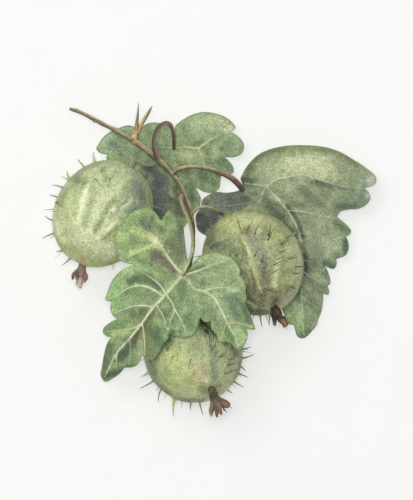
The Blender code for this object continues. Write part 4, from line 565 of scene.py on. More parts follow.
# How strongly each vein shows, from its start to its end, and a share on its width.
VEIN_LOOKS = {
    "front": {
        "colour": (230, 234, 196), "width": 1.05,
        "shown": [
            [0.35, 0.8, 1, 1, 0.9, 0.9, 0.8, 0.6], [0.75, 0.6, 0.5, 0.5], [0.5, 0.4], [0.3, 0.1],
            [0.9, 0.8, 0.5, 0.3], [0.2, 0.4, 0.9, 1, 0.9, 0.8], [0.7, 0.5, 0.3], [0.8, 0.9], [0.6, 0.3],
            [0.9, 0.8, 0.7], [0.9, 0.8], [1, 0.7, 0.4], [1, 1, 1, 0.6, 0.3], [0.9, 0.9, 0.5], [0.7, 0.5],
            [0.8, 0.7], [0.9, 0.8], [0.7, 0.3], [0.8, 0.4],
        ],
    },
    "right": {
        "colour": (222, 226, 186), "width": 0.62,
        "shown": [
            [0.3, 0.6, 0.6, 0.6, 0.5, 0.3], [0.6, 0.45], [0.15, 0.05], [0.12, 0.05], [0.1, 0.05],
            [0.9, 1, 1, 0.9, 0.5, 0.2, 0.2, 0.5, 0.9, 0.9], [0.9, 0.9, 0.5], [0.35, 0.2], [0.9, 0.7],
            [0.4, 0.3], [0.8, 0.7], [0.7, 0.2, 0], [0.25, 0.1], [0.15, 0.05],
        ],
    },
    "top": {
        "colour": (212, 220, 168), "width": 0.78,
        "shown": [
            [0.5, 0.9, 1, 0.8, 0.4, 0.2], [0.9, 0.8, 0.4, 0.2], [0.3, 0.15], [0.25, 0.1], [0.1, 0.05],
            [0.15, 0.1], [0.15, 0.2], [0.1, 0.05], [0.1, 0.05], [0.15, 0], [0.2, 0.1], [0.25, 0.1],
            [0.1, 0.05],
        ],
    },
}
# The fruit patches mix the skins' own colour and pale stripes with painted shade and painted highlights:
# shadows under leaves, darker rims and lower sides, and lighter lit places.
LEFT_FRUIT_TINTS_AND_SHADING = [
    ((-31.5, 10.4), 6.2, (206, 214, 170), 0.85), ((-36.6, 13), 3, (190, 204, 140), 0.8),
    ([(-37.6, 17.4), (-38.8, 14.6)], 1.1, (140, 160, 102)), ((-35, 18), 1.6, (158, 176, 118), 0.8),
    ([(-39.2, 9.4), (-38.7, 6.4), (-37.6, 4.2)], 0.7, (226, 230, 172), 1),
    ([(-36.8, 3.4), (-34.2, 2.2)], 1.3, (154, 166, 100)),
    ([(-39.9, 5.2), (-38.2, 1.6), (-35.4, -1.2)], 0.8, (134, 146, 88)),
    ((-36.4, 7.4), 1.5, (172, 186, 128), 0.8), ([(-34.9, 20.4), (-33.2, 19.6)], 1.2, (126, 144, 94), 0.95),
    ([(-36.2, 20.2), (-32.6, 23.2), (-28.4, 25)], 0.8, (132, 148, 96)),
    ([(-28.2, 22.8), (-27.4, 20.6)], 0.8, (134, 152, 102)),
    ([(-25.6, 24), (-22.4, 24)], 0.9, (172, 184, 128), 0.8), ((-29.4, 20.4), 1.2, (194, 206, 162), 0.8),
    ((-24.8, 21.4), 1.6, (178, 192, 148), 0.8), ([(-21.6, 22.4), (-19.6, 21.2)], 1.4, (172, 184, 148), 0.95),
    ([(-19.4, 18.4), (-18.2, 15.4)], 2, (112, 126, 112), 0.95), ((-22.2, 17.6), 1.3, (146, 162, 126)),
    ([(-21.4, 12.4), (-19, 13)], 1.2, (120, 138, 112)),
    ([(-24, 14.4), (-22, 15.6)], 0.8, (150, 162, 126), 0.8), ((-23.6, 10.6), 1, (160, 174, 134), 0.8),
    ([(-31.9, 18.6), (-33.2, 14.6), (-34.2, 9.4)], 0.62, (230, 235, 196), 1),
    ([(-34.4, 8.4), (-34.6, 5.6)], 0.8, (202, 212, 164), 0.7),
    ([(-30.4, 17.6), (-31.4, 13), (-32.4, 9)], 0.9, (164, 180, 126), 0.8),
    ([(-22.8, 19.8), (-25.4, 17.3), (-27.8, 14.4)], 0.5, (204, 214, 164), 0.95),
    ([(-28.4, 13.4), (-31, 8), (-31.6, 5)], 0.7, (212, 220, 178)),
    ([(-25.6, 14.8), (-28, 11.2), (-29.9, 7.4)], 0.75, (142, 156, 98), 0.95),
    ([(-21, 15), (-25.2, 12)], 0.5, (196, 208, 176)), ([(-24, 12.8), (-26.2, 10.8)], 0.5, (118, 134, 98)),
    ([(-25.4, 9.3), (-27.6, 7.3), (-29.7, 5.4)], 0.55, (232, 236, 198), 1),
    ([(-24.6, 8.4), (-27, 6), (-28.6, 4.8)], 0.45, (142, 154, 98)),
    ([(-28.4, 3.2), (-26, 2.2)], 2.1, (212, 220, 180), 0.95), ((-24.8, 5.6), 1.2, (172, 182, 118)),
    ([(-30.6, -0.4), (-26.4, -1), (-23.6, 0.6)], 1, (170, 184, 98), 0.95),
    ((-33.3, 0.2), 0.9, (194, 158, 104)), ((-31.6, 2), 1, (170, 178, 112), 0.8),
]
RIGHT_FRUIT_TINTS_AND_SHADING = [
    ([(1.6, 9), (5.2, 9.4)], 2, (192, 200, 134), 1),
    ([(6.4, 10.4), (10.4, 10.4)], 1.6, (196, 204, 146), 0.95),
    ([(12.4, 11), (14.6, 9.6)], 1.1, (180, 186, 142)), ([(-0.6, 7), (-1.8, 4.6)], 1.3, (116, 130, 88), 0.95),
    ([(-0.4, 4), (1.6, 3.2)], 1.3, (106, 122, 96), 0.95), ((3.2, 4.4), 1.5, (118, 132, 94)),
    ((1.4, 6.8), 1.4, (156, 166, 112), 0.8), ([(4.6, 2), (6.2, -3)], 1.5, (110, 124, 84), 0.95),
    ([(6.7, 3), (7.1, -0.6), (7.6, -3)], 0.7, (118, 127, 76)),
    ([(5.6, -1.6), (6.4, -4.2)], 1.2, (86, 98, 68), 0.95),
    ([(7.6, 7.6), (8.6, 5.6)], 0.9, (122, 120, 96), 0.95),
    ([(10.4, 5.4), (11.2, 2.4), (11.8, -0.6)], 1.6, (134, 138, 114), 1),
    ([(12, -1.6), (12.5, -5.4), (11.8, -8.4)], 1.5, (104, 106, 84), 1),
    ([(8.6, -3.6), (9.4, -7.2)], 1.5, (96, 98, 66), 1), ([(7.6, -8.4), (10.4, -12)], 2.2, (80, 82, 54), 1),
    ([(17.4, 8), (19.8, 5), (20.8, 1), (20.6, -3.4)], 0.5, (192, 200, 150), 0.8),
    ((11.4, -9.4), 1.3, (96, 94, 60), 0.95), ([(7.6, -10.2), (10, -11.5)], 0.4, (162, 160, 108)),
    ([(7.4, -12), (9.6, -13.2), (12.6, -13.2)], 1, (60, 54, 36), 0.97), ((14.8, -10), 1.3, (78, 68, 46), 1),
    ((14.6, -8), 1.2, (124, 116, 78)), ([(16.6, -8.4), (18.4, -6.6)], 1, (116, 124, 88), 0.95),
    ([(18.6, -5.2), (19.8, -3.8)], 0.8, (184, 188, 140)), ((17.4, -3.2), 1.3, (148, 156, 108)),
    ((16.4, -6), 0.9, (152, 154, 104), 0.8), ((15, 6.2), 1.7, (176, 184, 126)),
    ((18.6, 2.8), 1.6, (194, 200, 152), 0.95), ((19.6, -0.6), 1, (172, 180, 124), 0.8),
    ((14.2, 2.4), 1.3, (158, 164, 126)), ((16.6, 4), 0.9, (124, 130, 96), 0.8),
    ((17.4, 0.2), 0.9, (132, 138, 104), 0.8), ((10.9, 7.4), 0.75, (208, 210, 158), 0.95),
    ((13, 4.4), 0.8, (196, 202, 150)), ([(12.4, 8.2), (13.2, 6.2)], 0.5, (128, 134, 98), 0.8),
    ([(14, 0.2), (13.4, -2.2)], 0.55, (150, 152, 118), 0.8),
    ([(15.9, 0.4), (15, -3.4), (14.6, -6.2)], 0.6, (204, 208, 156), 0.95),
    ([(6.2, 5.7), (7.6, 3.6), (8.6, 1.4)], 0.44, (206, 210, 154), 1),
    ([(8.9, 1.6), (8.8, 0), (9.5, -2.4)], 0.28, (184, 188, 132), 0.95),
    ([(9.4, -2.2), (10.2, -4.5), (11.2, -7.2)], 0.28, (186, 182, 124), 0.95),
    ([(8.4, 0), (8, -2.6), (8.4, -4.2)], 0.22, (176, 180, 118), 0.6),
    ([(5.8, 6), (7, 3.4), (7.8, 1.4), (7.9, -1)], 0.4, (110, 112, 70), 0.85),
]
BOTTOM_FRUIT_TINTS_AND_SHADING = [
    ([(-10.6, -24), (-8.4, -27.4)], 2.8, (190, 200, 136), 0.95), ((-12.4, -28.8), 2, (154, 172, 104)),
    ([(-14.6, -22), (-11.4, -19.4)], 1.7, (78, 94, 72), 1),
    ([(-16.2, -24), (-15.6, -27.4)], 1.4, (88, 104, 72), 0.95),
    ([(-16.2, -28.2), (-14.8, -31.2), (-12, -33.6)], 1.3, (94, 108, 66), 0.97),
    ((-9.6, -31.4), 1.6, (164, 178, 108)), ([(-8, -32.4), (-5, -32.8)], 1.6, (184, 194, 138), 0.95),
    ([(-10.8, -34.8), (-3.4, -35.4)], 0.8, (94, 104, 64), 0.95), ((-8.4, -20.6), 1.7, (146, 160, 108)),
    ((-6.2, -22.8), 1.4, (156, 168, 110), 0.8), ([(-5, -19), (-3.8, -22.2)], 1.1, (148, 156, 112), 0.95),
    ((-6.6, -25.6), 1.1, (176, 184, 122), 0.8), ([(-4.6, -26.4), (-3.6, -28.8)], 1.25, (196, 182, 144), 1),
    ((-2.2, -29.6), 0.85, (214, 214, 160), 1), ((-5.6, -30), 1.2, (178, 182, 114)),
    ([(-3.4, -32), (-1.4, -33)], 0.8, (126, 126, 82)),
    ([(-3.2, -15.4), (-2.4, -17), (-1, -18.8)], 1.7, (40, 48, 44), 1),
    ([(-1, -20.4), (-0.8, -22.2)], 0.8, (104, 116, 98)),
    ([(-0.7, -22.6), (-0.4, -25.6), (-0.2, -29)], 0.9, (128, 146, 120), 0.95),
    ([(0.9, -24), (1.4, -28.6)], 0.4, (176, 188, 150)), ((2.6, -20.6), 1.1, (92, 104, 82)),
    ([(2.4, -23.4), (4, -23.8)], 1.1, (150, 156, 124)),
    ([(4.2, -21.6), (5.4, -23.4)], 0.8, (92, 98, 74), 0.95), ((3.6, -26.4), 1.3, (146, 156, 112)),
    ((3.4, -29.4), 1.4, (176, 186, 134)),
    ([(6.3, -24.4), (6.2, -27.4), (4.8, -31)], 0.8, (98, 110, 72), 0.95),
    ((0.8, -31.4), 0.9, (118, 122, 80)), ((-0.4, -33), 0.9, (84, 80, 58), 1),
]
# "side": the colour of a fruit's steep sides and underside, darker than the top as painted shade.
FRUIT_TINTS = {
    "left": {"base": (190, 201, 152), "side": (178, 190, 134), "patches": LEFT_FRUIT_TINTS_AND_SHADING},
    "right": {"base": (158, 164, 118), "side": (150, 158, 108), "patches": RIGHT_FRUIT_TINTS_AND_SHADING},
    "bottom": {"base": (164, 176, 124), "side": (120, 134, 86), "patches": BOTTOM_FRUIT_TINTS_AND_SHADING},
}
BARK_TINT = (150, 138, 106)
BARK_PATCHES = [
    ([(-12, 22.6), (-8.1, 16.8), (-5.7, 9.4)], 2.4, (112, 98, 78), 0.95), ((-15, 25.6), 1.6, (128, 110, 84)),
]
# The way of the bark's painted lit side, its painted highlight colour and its painted shade colour.
BARK_PAINTED_SIDES = ((0.45, 0.9), (212, 202, 156), (84, 66, 54))
THORN_TINT = (208, 172, 118)
# The way of the thorn's painted lit side, its painted highlight colour and its painted shade colour.
THORN_PAINTED_SIDES = ((-0.9, 0.1), (226, 206, 150), (112, 96, 62))
THORN_TIP_TINT = (128, 126, 96)
# "edges": the way (x, y) of a stem's painted lit side, the painted highlight colour there and the painted
# shade colour on the other side.
STEM_TINTS = {
    "petiole_top": {
        "base": (112, 98, 84), "edges": ((0.9, -0.3), (158, 144, 120), (66, 54, 48)),
        "patches": [
            ((-14.4, 27), 1.6, (98, 74, 62)), ((-10.4, 29.4), 1.4, (90, 66, 58)),
        ],
    },
    "petiole_right": {
        "base": (176, 162, 126), "edges": ((-0.2, 1), (216, 206, 164), (84, 66, 54)),
        "patches": [
            ([(1.2, 21.8), (5, 19.8)], 1.5, (150, 122, 98)), ((6.4, 18), 1.2, (88, 64, 54), 0.95),
            ((-9.6, 22.6), 1.3, (150, 142, 100), 0.8),
        ],
    },
    "petiole_front": {
        "base": (158, 156, 116), "edges": ((-1, 0), (206, 200, 158), (96, 90, 66)),
        "patches": [
            ((-7.8, 14), 2.2, (128, 122, 86)), ((-7.4, -1.6), 1.8, (200, 206, 154)),
            ((-5.6, 1.8), 2.2, (200, 204, 160)), ((-6, 5), 1.6, (150, 158, 106), 0.8),
        ],
    },
    "fruit_stalk_left": {
        "base": (138, 150, 122), "edges": ((-0.2, 1), (150, 162, 130), (122, 132, 110)),
        "patches": [((-20.6, 24), 1, (134, 142, 100), 0.8)],
    },
    "fruit_stalk_right": {
        "base": (176, 166, 126), "edges": ((0.1, 1), (212, 202, 160), (118, 110, 88)),
        "patches": [((2.4, 11.6), 1.2, (168, 160, 124))],
    },
    "fruit_stalk_bottom": {
        "base": (112, 122, 84), "edges": ((-0.9, 0.3), (136, 146, 100), (78, 84, 60)), "patches": [],
    },
}
FLOWER_TINTS = {
    "left": {
        "base": (150, 126, 110),
        "patches": [
            ([(-34.3, -2.6), (-35.4, -3.6), (-35.8, -4.5)], 0.4, (116, 92, 82), 0.95),
            ([(-34.2, -3.2), (-34.4, -4.6)], 0.4, (120, 92, 78), 0.8),
            ([(-33.8, -3.4), (-34.2, -6.2)], 0.35, (176, 140, 112)),
            ([(-32.8, -3.2), (-32.6, -5)], 0.4, (132, 108, 96)), ((-33.5, -1.6), 0.9, (148, 128, 92)),
            ([(-34, -5.4), (-34.2, -7.2)], 0.8, (226, 206, 184), 0.97),
        ],
    },
    "right": {
        "base": (62, 50, 43),
        "patches": [
            ([(14.2, -12), (14.8, -13.6)], 1.3, (46, 39, 35), 0.97), ((14.8, -16), 0.6, (118, 88, 66), 0.8),
            ([(15.6, -13), (16.4, -14.6)], 0.5, (88, 66, 50)),
            ([(16.9, -15), (17.8, -16.6)], 0.5, (164, 124, 92), 0.95), ((16.4, -16.2), 0.5, (92, 66, 50)),
        ],
    },
    "bottom": {
        "base": (100, 89, 75),
        "patches": [
            ((-0.6, -34), 1.3, (72, 66, 54), 0.97), ([(-1, -35.6), (-1.2, -37.6)], 0.5, (158, 142, 118)),
            ([(0, -35), (0.3, -38)], 0.4, (126, 108, 92)),
            ([(0.8, -35.8), (1.3, -38)], 0.4, (156, 128, 98), 0.8),
            ([(1.2, -34.8), (2.2, -35.6)], 0.4, (108, 88, 70)),
            ([(2.2, -35.6), (3.2, -36.2)], 0.5, (158, 126, 94)), ((3.6, -36.3), 0.45, (84, 62, 48)),
            ((-1.1, -38.6), 0.5, (198, 180, 144)),
        ],
    },
}
BRISTLE_ROOT_TINT = (150, 158, 104)
BRISTLE_TIP_TINT = {"left": (92, 102, 82), "right": (62, 62, 46), "bottom": (70, 74, 58)}
PALE_BRISTLE_TINT = (186, 196, 134)
PALE_BRISTLES = {"left": (99, 134), "right": (), "bottom": (-112, -155)}  # by compass angle
RIM_COLOUR = (116, 136, 98)
STRIPE_COLOUR = (222, 228, 184)
FLOWER_END_COLOUR = (168, 140, 98)
SEED_COLOUR = (118, 124, 84)
FIBRE_LIGHT_COLOUR = (206, 196, 168)
# Finishes with fibres: colour of the dark streaks, how much they show, and roughness.
FIBRE_FINISHES = {
    "dry flower": ((58, 44, 38), 0.45, 0.85),
    "bark": ((84, 72, 54), 0.6, 0.85),
    "brown stalk": ((78, 60, 50), 0.5, 0.75),
    "green stalk": ((110, 116, 78), 0.45, 0.7),
}
FLOOR_COLOUR = (184, 184, 183)
FLOOR_GLOW = 1.0

FLOOR_SPAN = 1.5  # metres from the middle to each side
FLOOR_DROP = 0.00003  # metres below the sprig

VIEW_HEIGHT = 125.0  # of the floor and sprig that the frame takes in
VIEW_SHIFT = (-0.68, 2.29)  # from the middle of the sprig to the middle of the frame
LENS, SENSOR = 900.0, 36.0
WORLD_STRENGTH = 0.32
LIGHT_AIM = (0.0, 0.0, 0.01)
# Lights: place and size in metres, power and colour.
LIGHTS = {
    "key": ((-0.32, 0.34, 0.85), 0.6, 2.8, (1.0, 0.99, 0.975)),
    "top": ((-0.03, 0.05, 1.6), 0.25, 10.8, (1.0, 1.0, 1.0)),
}

# ---- curves and surfaces


def unit(vector):
    return np.array(vector, float) / np.linalg.norm(vector)


def distances(points):
    """How far along a path each of its points is."""
    steps = np.linalg.norm(np.diff(points, axis=0), axis=1)
    return np.concatenate([[0.0], np.cumsum(steps)])


def headings(points):
    """The way on at each point of a path."""
    forward = np.gradient(points, axis=0)
    return forward / np.linalg.norm(forward, axis=1)[:, None]


def smooth_path(points, step):
    """An even walk, about every `step`, along a smooth curve through the points."""
    points = np.array(points, float)
    if len(points) < 3:
        dense = points
    else:
        chords = np.diff(points, axis=0)
        spans = np.sqrt(np.linalg.norm(chords, axis=1))
        slopes = chords / spans[:, None]
        tangents = np.vstack([slopes, slopes[-1:]])
        before, after = spans[:-1, None], spans[1:, None]
        tangents[1:-1] = (slopes[:-1] * after + slopes[1:] * before) / (before + after)
        u = np.linspace(0, 1, 12, endpoint=False)[:, None]
        pieces = []
        for i, span in enumerate(spans):
            pieces.append(
                (2 * u**3 - 3 * u**2 + 1) * points[i]
                + (u**3 - 2 * u**2 + u) * span * tangents[i]
                + (3 * u**2 - 2 * u**3) * points[i + 1]
                + (u**3 - u**2) * span * tangents[i + 1]
            )
        dense = np.vstack(pieces + [points[-1:]])
    along = distances(dense[:, :3])
    count = max(2, round(along[-1] / step) + 1)
    stops = np.linspace(0, along[-1], count)
    return np.column_stack([np.interp(stops, along, column) for column in dense.T])


def thin_plate(points):
    """A smooth height over (x, y), like a bent sheet through every point (x, y, z)."""
    points = np.array(points, float)
    centres, heights = points[:, :2], points[:, 2]

    def kernel(a, b):
        squared = ((a[:, None, :] - b[None, :, :]) ** 2).sum(axis=2)
        return 0.5 * squared * np.log(squared + 1e-9)

    count = len(points)
    flat = np.column_stack([np.ones(count), centres])
    system = np.zeros((count + 3, count + 3))
    system[:count, :count] = kernel(centres, centres) + 0.05 * np.eye(count)
    system[:count, count:] = flat
    system[count:, :count] = flat.T
    weights = np.linalg.solve(system, np.concatenate([heights, np.zeros(3)]))

    def height(xy):
        plane = np.column_stack([np.ones(len(xy)), xy])
        return kernel(xy, centres) @ weights[:count] + plane @ weights[count:]

    return height


def fruit_side(fruit, xy, pad, side):
    """Height of a fruit's upper (side 1) or lower (side -1) face, thickened by `pad`."""
    axis = unit(fruit["blossom"])
    along = np.outer(axis, axis)
    form = (np.eye(3) - along) / (fruit["radius"] + pad) ** 2
    form += along / (fruit["half_length"] + pad) ** 2
    x, y = (xy - np.array(fruit["centre"][:2])).T
    a = form[2, 2]
    b = form[0, 2] * x + form[1, 2] * y
    c = form[0, 0] * x**2 + 2 * form[0, 1] * x * y + form[1, 1] * y**2 - 1
    root = b**2 - a * c
    over = root > 0
    height = np.full(len(xy), -1e3 * side)
    height[over] = fruit["centre"][2] + (side * np.sqrt(root[over]) - b[over]) / a
    return height


def soft_max(a, b, reach=1.0):
    """The higher of two heights, rounded over where they meet."""
    overlap = np.clip(reach - np.abs(a - b), 0, None) / reach
    return np.maximum(a, b) + overlap**2 * reach / 4


def bell(values):
    return np.exp(-(values**2))


def smooth_step(low, high, values):
    share = np.clip((values - low) / (high - low), 0, 1)
    return share * share * (3 - 2 * share)


def in_space(point):
    return tuple(point) if len(point) == 3 else (*point, 0.0)


def point_tree(points):
    tree = KDTree(len(points))
    for number, point in enumerate(points):
        tree.insert(in_space(point), number)
    tree.balance()
    return tree


def nearest(points, targets):
    """Distance from each point to the closest target, and that target's number."""
    tree = point_tree(targets)
    found = [tree.find(in_space(point)) for point in points]
    return np.array([hit[2] for hit in found]), np.array([hit[1] for hit in found])


def wander(points, size, seed, waves=7):
    """Smooth, seeded ups and downs of about -1 to 1 that change over `size`."""
    draw = np.random.default_rng(seed)
    total = np.zeros(len(points))
    for _ in range(waves):
        heading = unit(draw.normal(size=points.shape[1]))
        length = size * draw.uniform(0.6, 1.6)
        total += np.sin(points @ heading * 2 * math.pi / length + draw.uniform(0, 6.3))
    return total / math.sqrt(waves)


# ---- colours on points


def linear(colour):
    """Linear light from red, green and blue out of 255."""
    share = np.array(colour, float) / 255
    return np.where(share < 0.04045, share / 12.92, ((share + 0.055) / 1.055) ** 2.4)


def stroke_gap(points, stroke):
    """Distance from each point to a spot, or to a line through several."""
    spots = np.atleast_2d(np.array(stroke, float))
    points = points[:, : spots.shape[1]]
    gap = np.linalg.norm(points - spots[0], axis=1)
    for start, end in zip(spots, spots[1:]):
        span = end - start
        share = np.clip((points - start) @ span / (span @ span), 0, 1)
        gap = np.minimum(gap, np.linalg.norm(points - start - share[:, None] * span, axis=1))
    return gap


def patched(points, base, patches):
    """Colour of each point: a base with strokes and spots of ragged outline laid over it."""
    colours = np.tile(linear(base), (len(points), 1))
    waves = [wander(points, size, 60) for size in PATCH_WAVES]
    for stroke, reach, colour, *given in patches:
        strength = given[0] if given else PATCH_STRENGTH
        wave = waves[0] if reach < 1 else waves[1]
        gap = stroke_gap(points, stroke) * (1 + 0.4 * PATCH_RAGGEDNESS * wave) / reach
        share = (strength * np.exp(-0.8 * gap**3))[:, None]
        colours += share * (linear(colour) - colours)
    return colours


def painted_light_sides(colours, outward, edges):
    """Painted highlight towards one side of a stem and painted shade towards the other."""
    way, light, dark = edges
    lean = outward @ np.array([*unit(way), 0.0])
    lit = PAINTED_SIDE_STRENGTH * smooth_step(0.1, 0.75, lean)[:, None]
    colours = colours + lit * (linear(light) - colours)
    unlit = PAINTED_SIDE_STRENGTH * smooth_step(0.15, 0.8, -lean)[:, None]
    return colours + unlit * (linear(dark) - colours)


# ---- meshes


def in_frame(points):
    """Sprig millimetres to metres in the model's frame."""
    moved = np.array(points, float)
    moved[:, :2] -= MIDDLE
    return moved * MM


def added(name, data):
    made = bpy.data.objects.new(name, data)
    bpy.context.scene.collection.objects.link(made)
    return made


def mesh_object(name, points, faces, paint, **values):
    """A smooth-shaded object with a named value or colour stored on each point."""
    mesh = bpy.data.meshes.new(name)
    mesh.from_pydata(in_frame(points).tolist(), [], [tuple(face) for face in faces])
    mesh.update()
    for label, data in values.items():
        data = np.asarray(data, np.float32)
        if data.ndim == 1:
            mesh.attributes.new(label, "FLOAT", "POINT").data.foreach_set("value", data)
        elif label == "tint":
            layer = mesh.color_attributes.new(label, "FLOAT_COLOR", "POINT")
            opaque = np.column_stack([data, np.ones(len(data), np.float32)])
            layer.data.foreach_set("color", opaque.ravel())
        else:
            layer = mesh.attributes.new(label, "FLOAT_VECTOR", "POINT")
            layer.data.foreach_set("vector", data.ravel())
    mesh.materials.append(paint)
    mesh.shade_smooth()
    return added(name, mesh)


def place(piece, slot, *nodes):
    """Ride on the model's body and stand in for model nodes; the slot is not used."""
    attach(piece, "root")
    if nodes:
        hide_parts(*nodes)


def swept(path, sides, flatness=1.0, twist=0.0, wave=None):
    """Rings of points along (x, y, z, radius) points, closed to a point at both ends.

    Also gives each point's way along the path and its angle round it."""
    spine, radii = path[:, :3], path[:, 3]
    forward, gone = headings(spine), distances(spine)
    across = np.cross(forward[0], (0, 0, 1))
    if np.linalg.norm(across) < 0.1:
        across = np.array([1.0, 0.0, 0.0])
    turns = 2 * np.pi * np.arange(sides) / sides
    points, along, around = [spine[0]], [0.0], [0.0]
    for centre, heading, radius, far in zip(spine, forward, radii, gone):
        across = unit(across - heading * across.dot(heading))
        upward = np.cross(across, heading)
        spin = twist * far
        side_way = math.cos(spin) * across + math.sin(spin) * upward
        up_way = -math.sin(spin) * across + math.cos(spin) * upward
        swell = np.ones(sides) if wave is None else wave(far, turns)
        reach = (radius * swell)[:, None]
        ring = reach * (np.cos(turns)[:, None] * side_way)
        ring += reach * flatness * (np.sin(turns)[:, None] * up_way)
        points.extend(centre + ring)
        along.extend([far] * sides)
        around.extend(turns)
    points.append(spine[-1])
    along.append(gone[-1])
    around.append(0.0)
    last = len(points) - 1
    faces = []
    for side in range(sides):
        following = (side + 1) % sides
        faces.append((0, 1 + following, 1 + side))
        final = last - sides
        faces.append((last, final + side, final + following))
        for ring in range(len(spine) - 1):
            a = 1 + ring * sides
            faces.append((a + side, a + following, a + sides + following, a + sides + side))
    return np.array(points), faces, np.array(along), np.array(around)


def read_vectors(vertices, label):
    values = np.empty(3 * len(vertices))
    vertices.foreach_get(label, values)
    return values.reshape(-1, 3)


def fused(bodies, voxel, rounds):
    """Several (points, faces) bodies melted into one skin of small even faces."""
    points = np.vstack([body[0] for body in bodies])
    faces, first = [], 0
    for body_points, body_faces in bodies:
        faces += [tuple(first + corner for corner in face) for face in body_faces]
        first += len(body_points)
    mesh = bpy.data.meshes.new("melting")
    mesh.from_pydata((points * MM).tolist(), [], faces)
    melting = added("melting", mesh)
    skin = melting.modifiers.new("skin", "REMESH")
    skin.mode = "VOXEL"
    skin.voxel_size = voxel * MM
    ease = melting.modifiers.new("ease", "SMOOTH")
    ease.factor = 0.5
    ease.iterations = rounds
    view = bpy.context.evaluated_depsgraph_get()
    result = bpy.data.meshes.new_from_object(melting.evaluated_get(view))
    places, normals = (read_vectors(result.vertices, label) for label in ("co", "normal"))
    skin_faces = [tuple(face.vertices) for face in result.polygons]
    bpy.data.objects.remove(melting)
    bpy.data.meshes.remove(mesh)
    bpy.data.meshes.remove(result)
    return places / MM, normals, skin_faces


# ---- leaves


def leaf_outline(leaf):
    """The edge of a blade as one closed walk, smooth between its notches."""
    runs = leaf["margin"]
    walk = []
    for run, following in zip(runs, runs[1:] + runs[:1]):
        walk.append(smooth_path(run + following[:1], EDGE_SPACING)[:-1])
    return np.vstack(walk)


def is_inside(points, outline):
    start, end = outline, np.roll(outline, -1, axis=0)
    x, y = points[:, :1], points[:, 1:]
    spans = (start[:, 1] > y) != (end[:, 1] > y)
    rise = np.where(end[:, 1] == start[:, 1], 1.0, end[:, 1] - start[:, 1])
    crossing = start[:, 0] + (y - start[:, 1]) * (end[:, 0] - start[:, 0]) / rise
    return (spans & (x < crossing)).sum(axis=1) % 2 == 1


def grid_inside(outline, fixed):
    """Staggered points inside an outline that keep off the points already fixed."""
    low, high = outline.min(axis=0), outline.max(axis=0)
    points = []
    for number, y in enumerate(np.arange(low[1], high[1], BLADE_SPACING * math.sqrt(0.75))):
        shift = 0.5 * BLADE_SPACING * (number % 2)
        points += [(x, y) for x in np.arange(low[0] + shift, high[0], BLADE_SPACING)]
    points = np.array(points)
    points = points[is_inside(points, outline)]
    apart, _ = nearest(points, fixed)
    return points[apart > 0.62 * BLADE_SPACING]


def side_veins(veins, outline, draw):
    """Small veins that branch off every vein by turns and stop short of what they meet."""
    spots = np.vstack(veins)
    owner = np.concatenate([[number] * len(vein) for number, vein in enumerate(veins)])
    tree, border = point_tree(spots), point_tree(outline)
    branches = []
    for number, vein in enumerate(veins):
        stations = smooth_path(vein, SIDE_VEIN_EVERY)
        ways = np.gradient(stations, axis=0)
        for station, way in zip(stations[1:-1], ways[1:-1]):
            heading = math.atan2(way[1], way[0])
            for side in (1, -1):
                angle = heading + side * math.radians(draw.uniform(38, 58))
                walk = [station + draw.uniform(-0.5, 0.5) * unit(way)]
                for _ in range(int(draw.uniform(9, 20))):
                    step = np.array([math.cos(angle), math.sin(angle)])
                    spot = walk[-1] + SIDE_VEIN_STEP * step
                    angle -= side * math.radians(draw.uniform(0, 5))
                    _, hit, distance = tree.find((*spot, 0.0))
                    crowded = distance < 0.5 and owner[hit] != number
                    if crowded or border.find((*spot, 0.0))[2] < 0.5:
                        break
                    walk.append(spot)
                if len(walk) > 4:
                    branches.append(np.array(walk))
    return branches


def blade_height(leaf):
    """The top of a leaf: bent over the fruits it lies on, under those that lie on it."""
    pins = [point for vein in leaf["veins"] for point in vein] + leaf["pins"]
    spots = {(x, y): z for x, y, z in pins}
    sheet = thin_plate([(x, y, z) for (x, y), z in spots.items()])
    pad = MODEL_THICKNESS + 2 * GAP

    def height(xy, vein_gap):
        z = sheet(xy) + QUILT_HEIGHT * (1 - bell(vein_gap / QUILT_WIDTH))
        for fruit in FRUITS.values():
            above = fruit_side(fruit, xy, pad, 1)
            below = fruit_side(fruit, xy, 1.5 * GAP, -1)
            middle = fruit["centre"][2]
            z = np.where(z > middle, soft_max(z, above), -soft_max(-z, -below))
        return np.maximum(z, MODEL_THICKNESS)

    return height


def blade_triangles(outline, lines):
    """Points on the plane and triangles between them, with edges along every line."""
    inner = grid_inside(outline, np.vstack([outline, *lines]))
    points = [tuple(point) for point in outline]
    edges = [(i, (i + 1) % len(outline)) for i in range(len(outline))]
    for line in lines:
        first = len(points)
        points += [tuple(point) for point in line]
        edges += [(i, i + 1) for i in range(first, len(points) - 1)]
    points += [tuple(point) for point in inner]
    flat, _, triangles, *_ = delaunay_2d_cdt(
        [Vector(point) for point in points], edges, [list(range(len(outline)))], 1, 1e-4
    )
    return np.array([tuple(point) for point in flat]), np.array([tuple(t) for t in triangles])


def vein_values(lines, looks):
    """Half width and strength at each point of each vein, one vein after another."""
    widths, shown = [], []
    for line, strengths in zip(lines, looks["shown"]):
        wide = looks["width"] * (VEIN_WIDTH + VEIN_GROWTH * VEIN_SPACING * len(line))
        widths.append(np.linspace(wide, 0.4 * wide, len(line)))
        stops = np.linspace(0, len(line) - 1, len(strengths))
        shown.append(np.interp(np.arange(len(line)), stops, strengths))
    return np.concatenate(widths), np.concatenate(shown)


def steepness(flat, top, triangles):
    """How many times thicker a blade is straight down than across itself, 4 at most."""
    corner = np.column_stack([flat, top])[triangles]
    normals = np.cross(corner[:, 1] - corner[:, 0], corner[:, 2] - corner[:, 0])
    lean = np.zeros((len(flat), 3))
    for side in range(3):
        np.add.at(lean, triangles[:, side], normals)
    return np.clip(np.linalg.norm(lean, axis=1) / np.abs(lean[:, 2]), 1, 4)


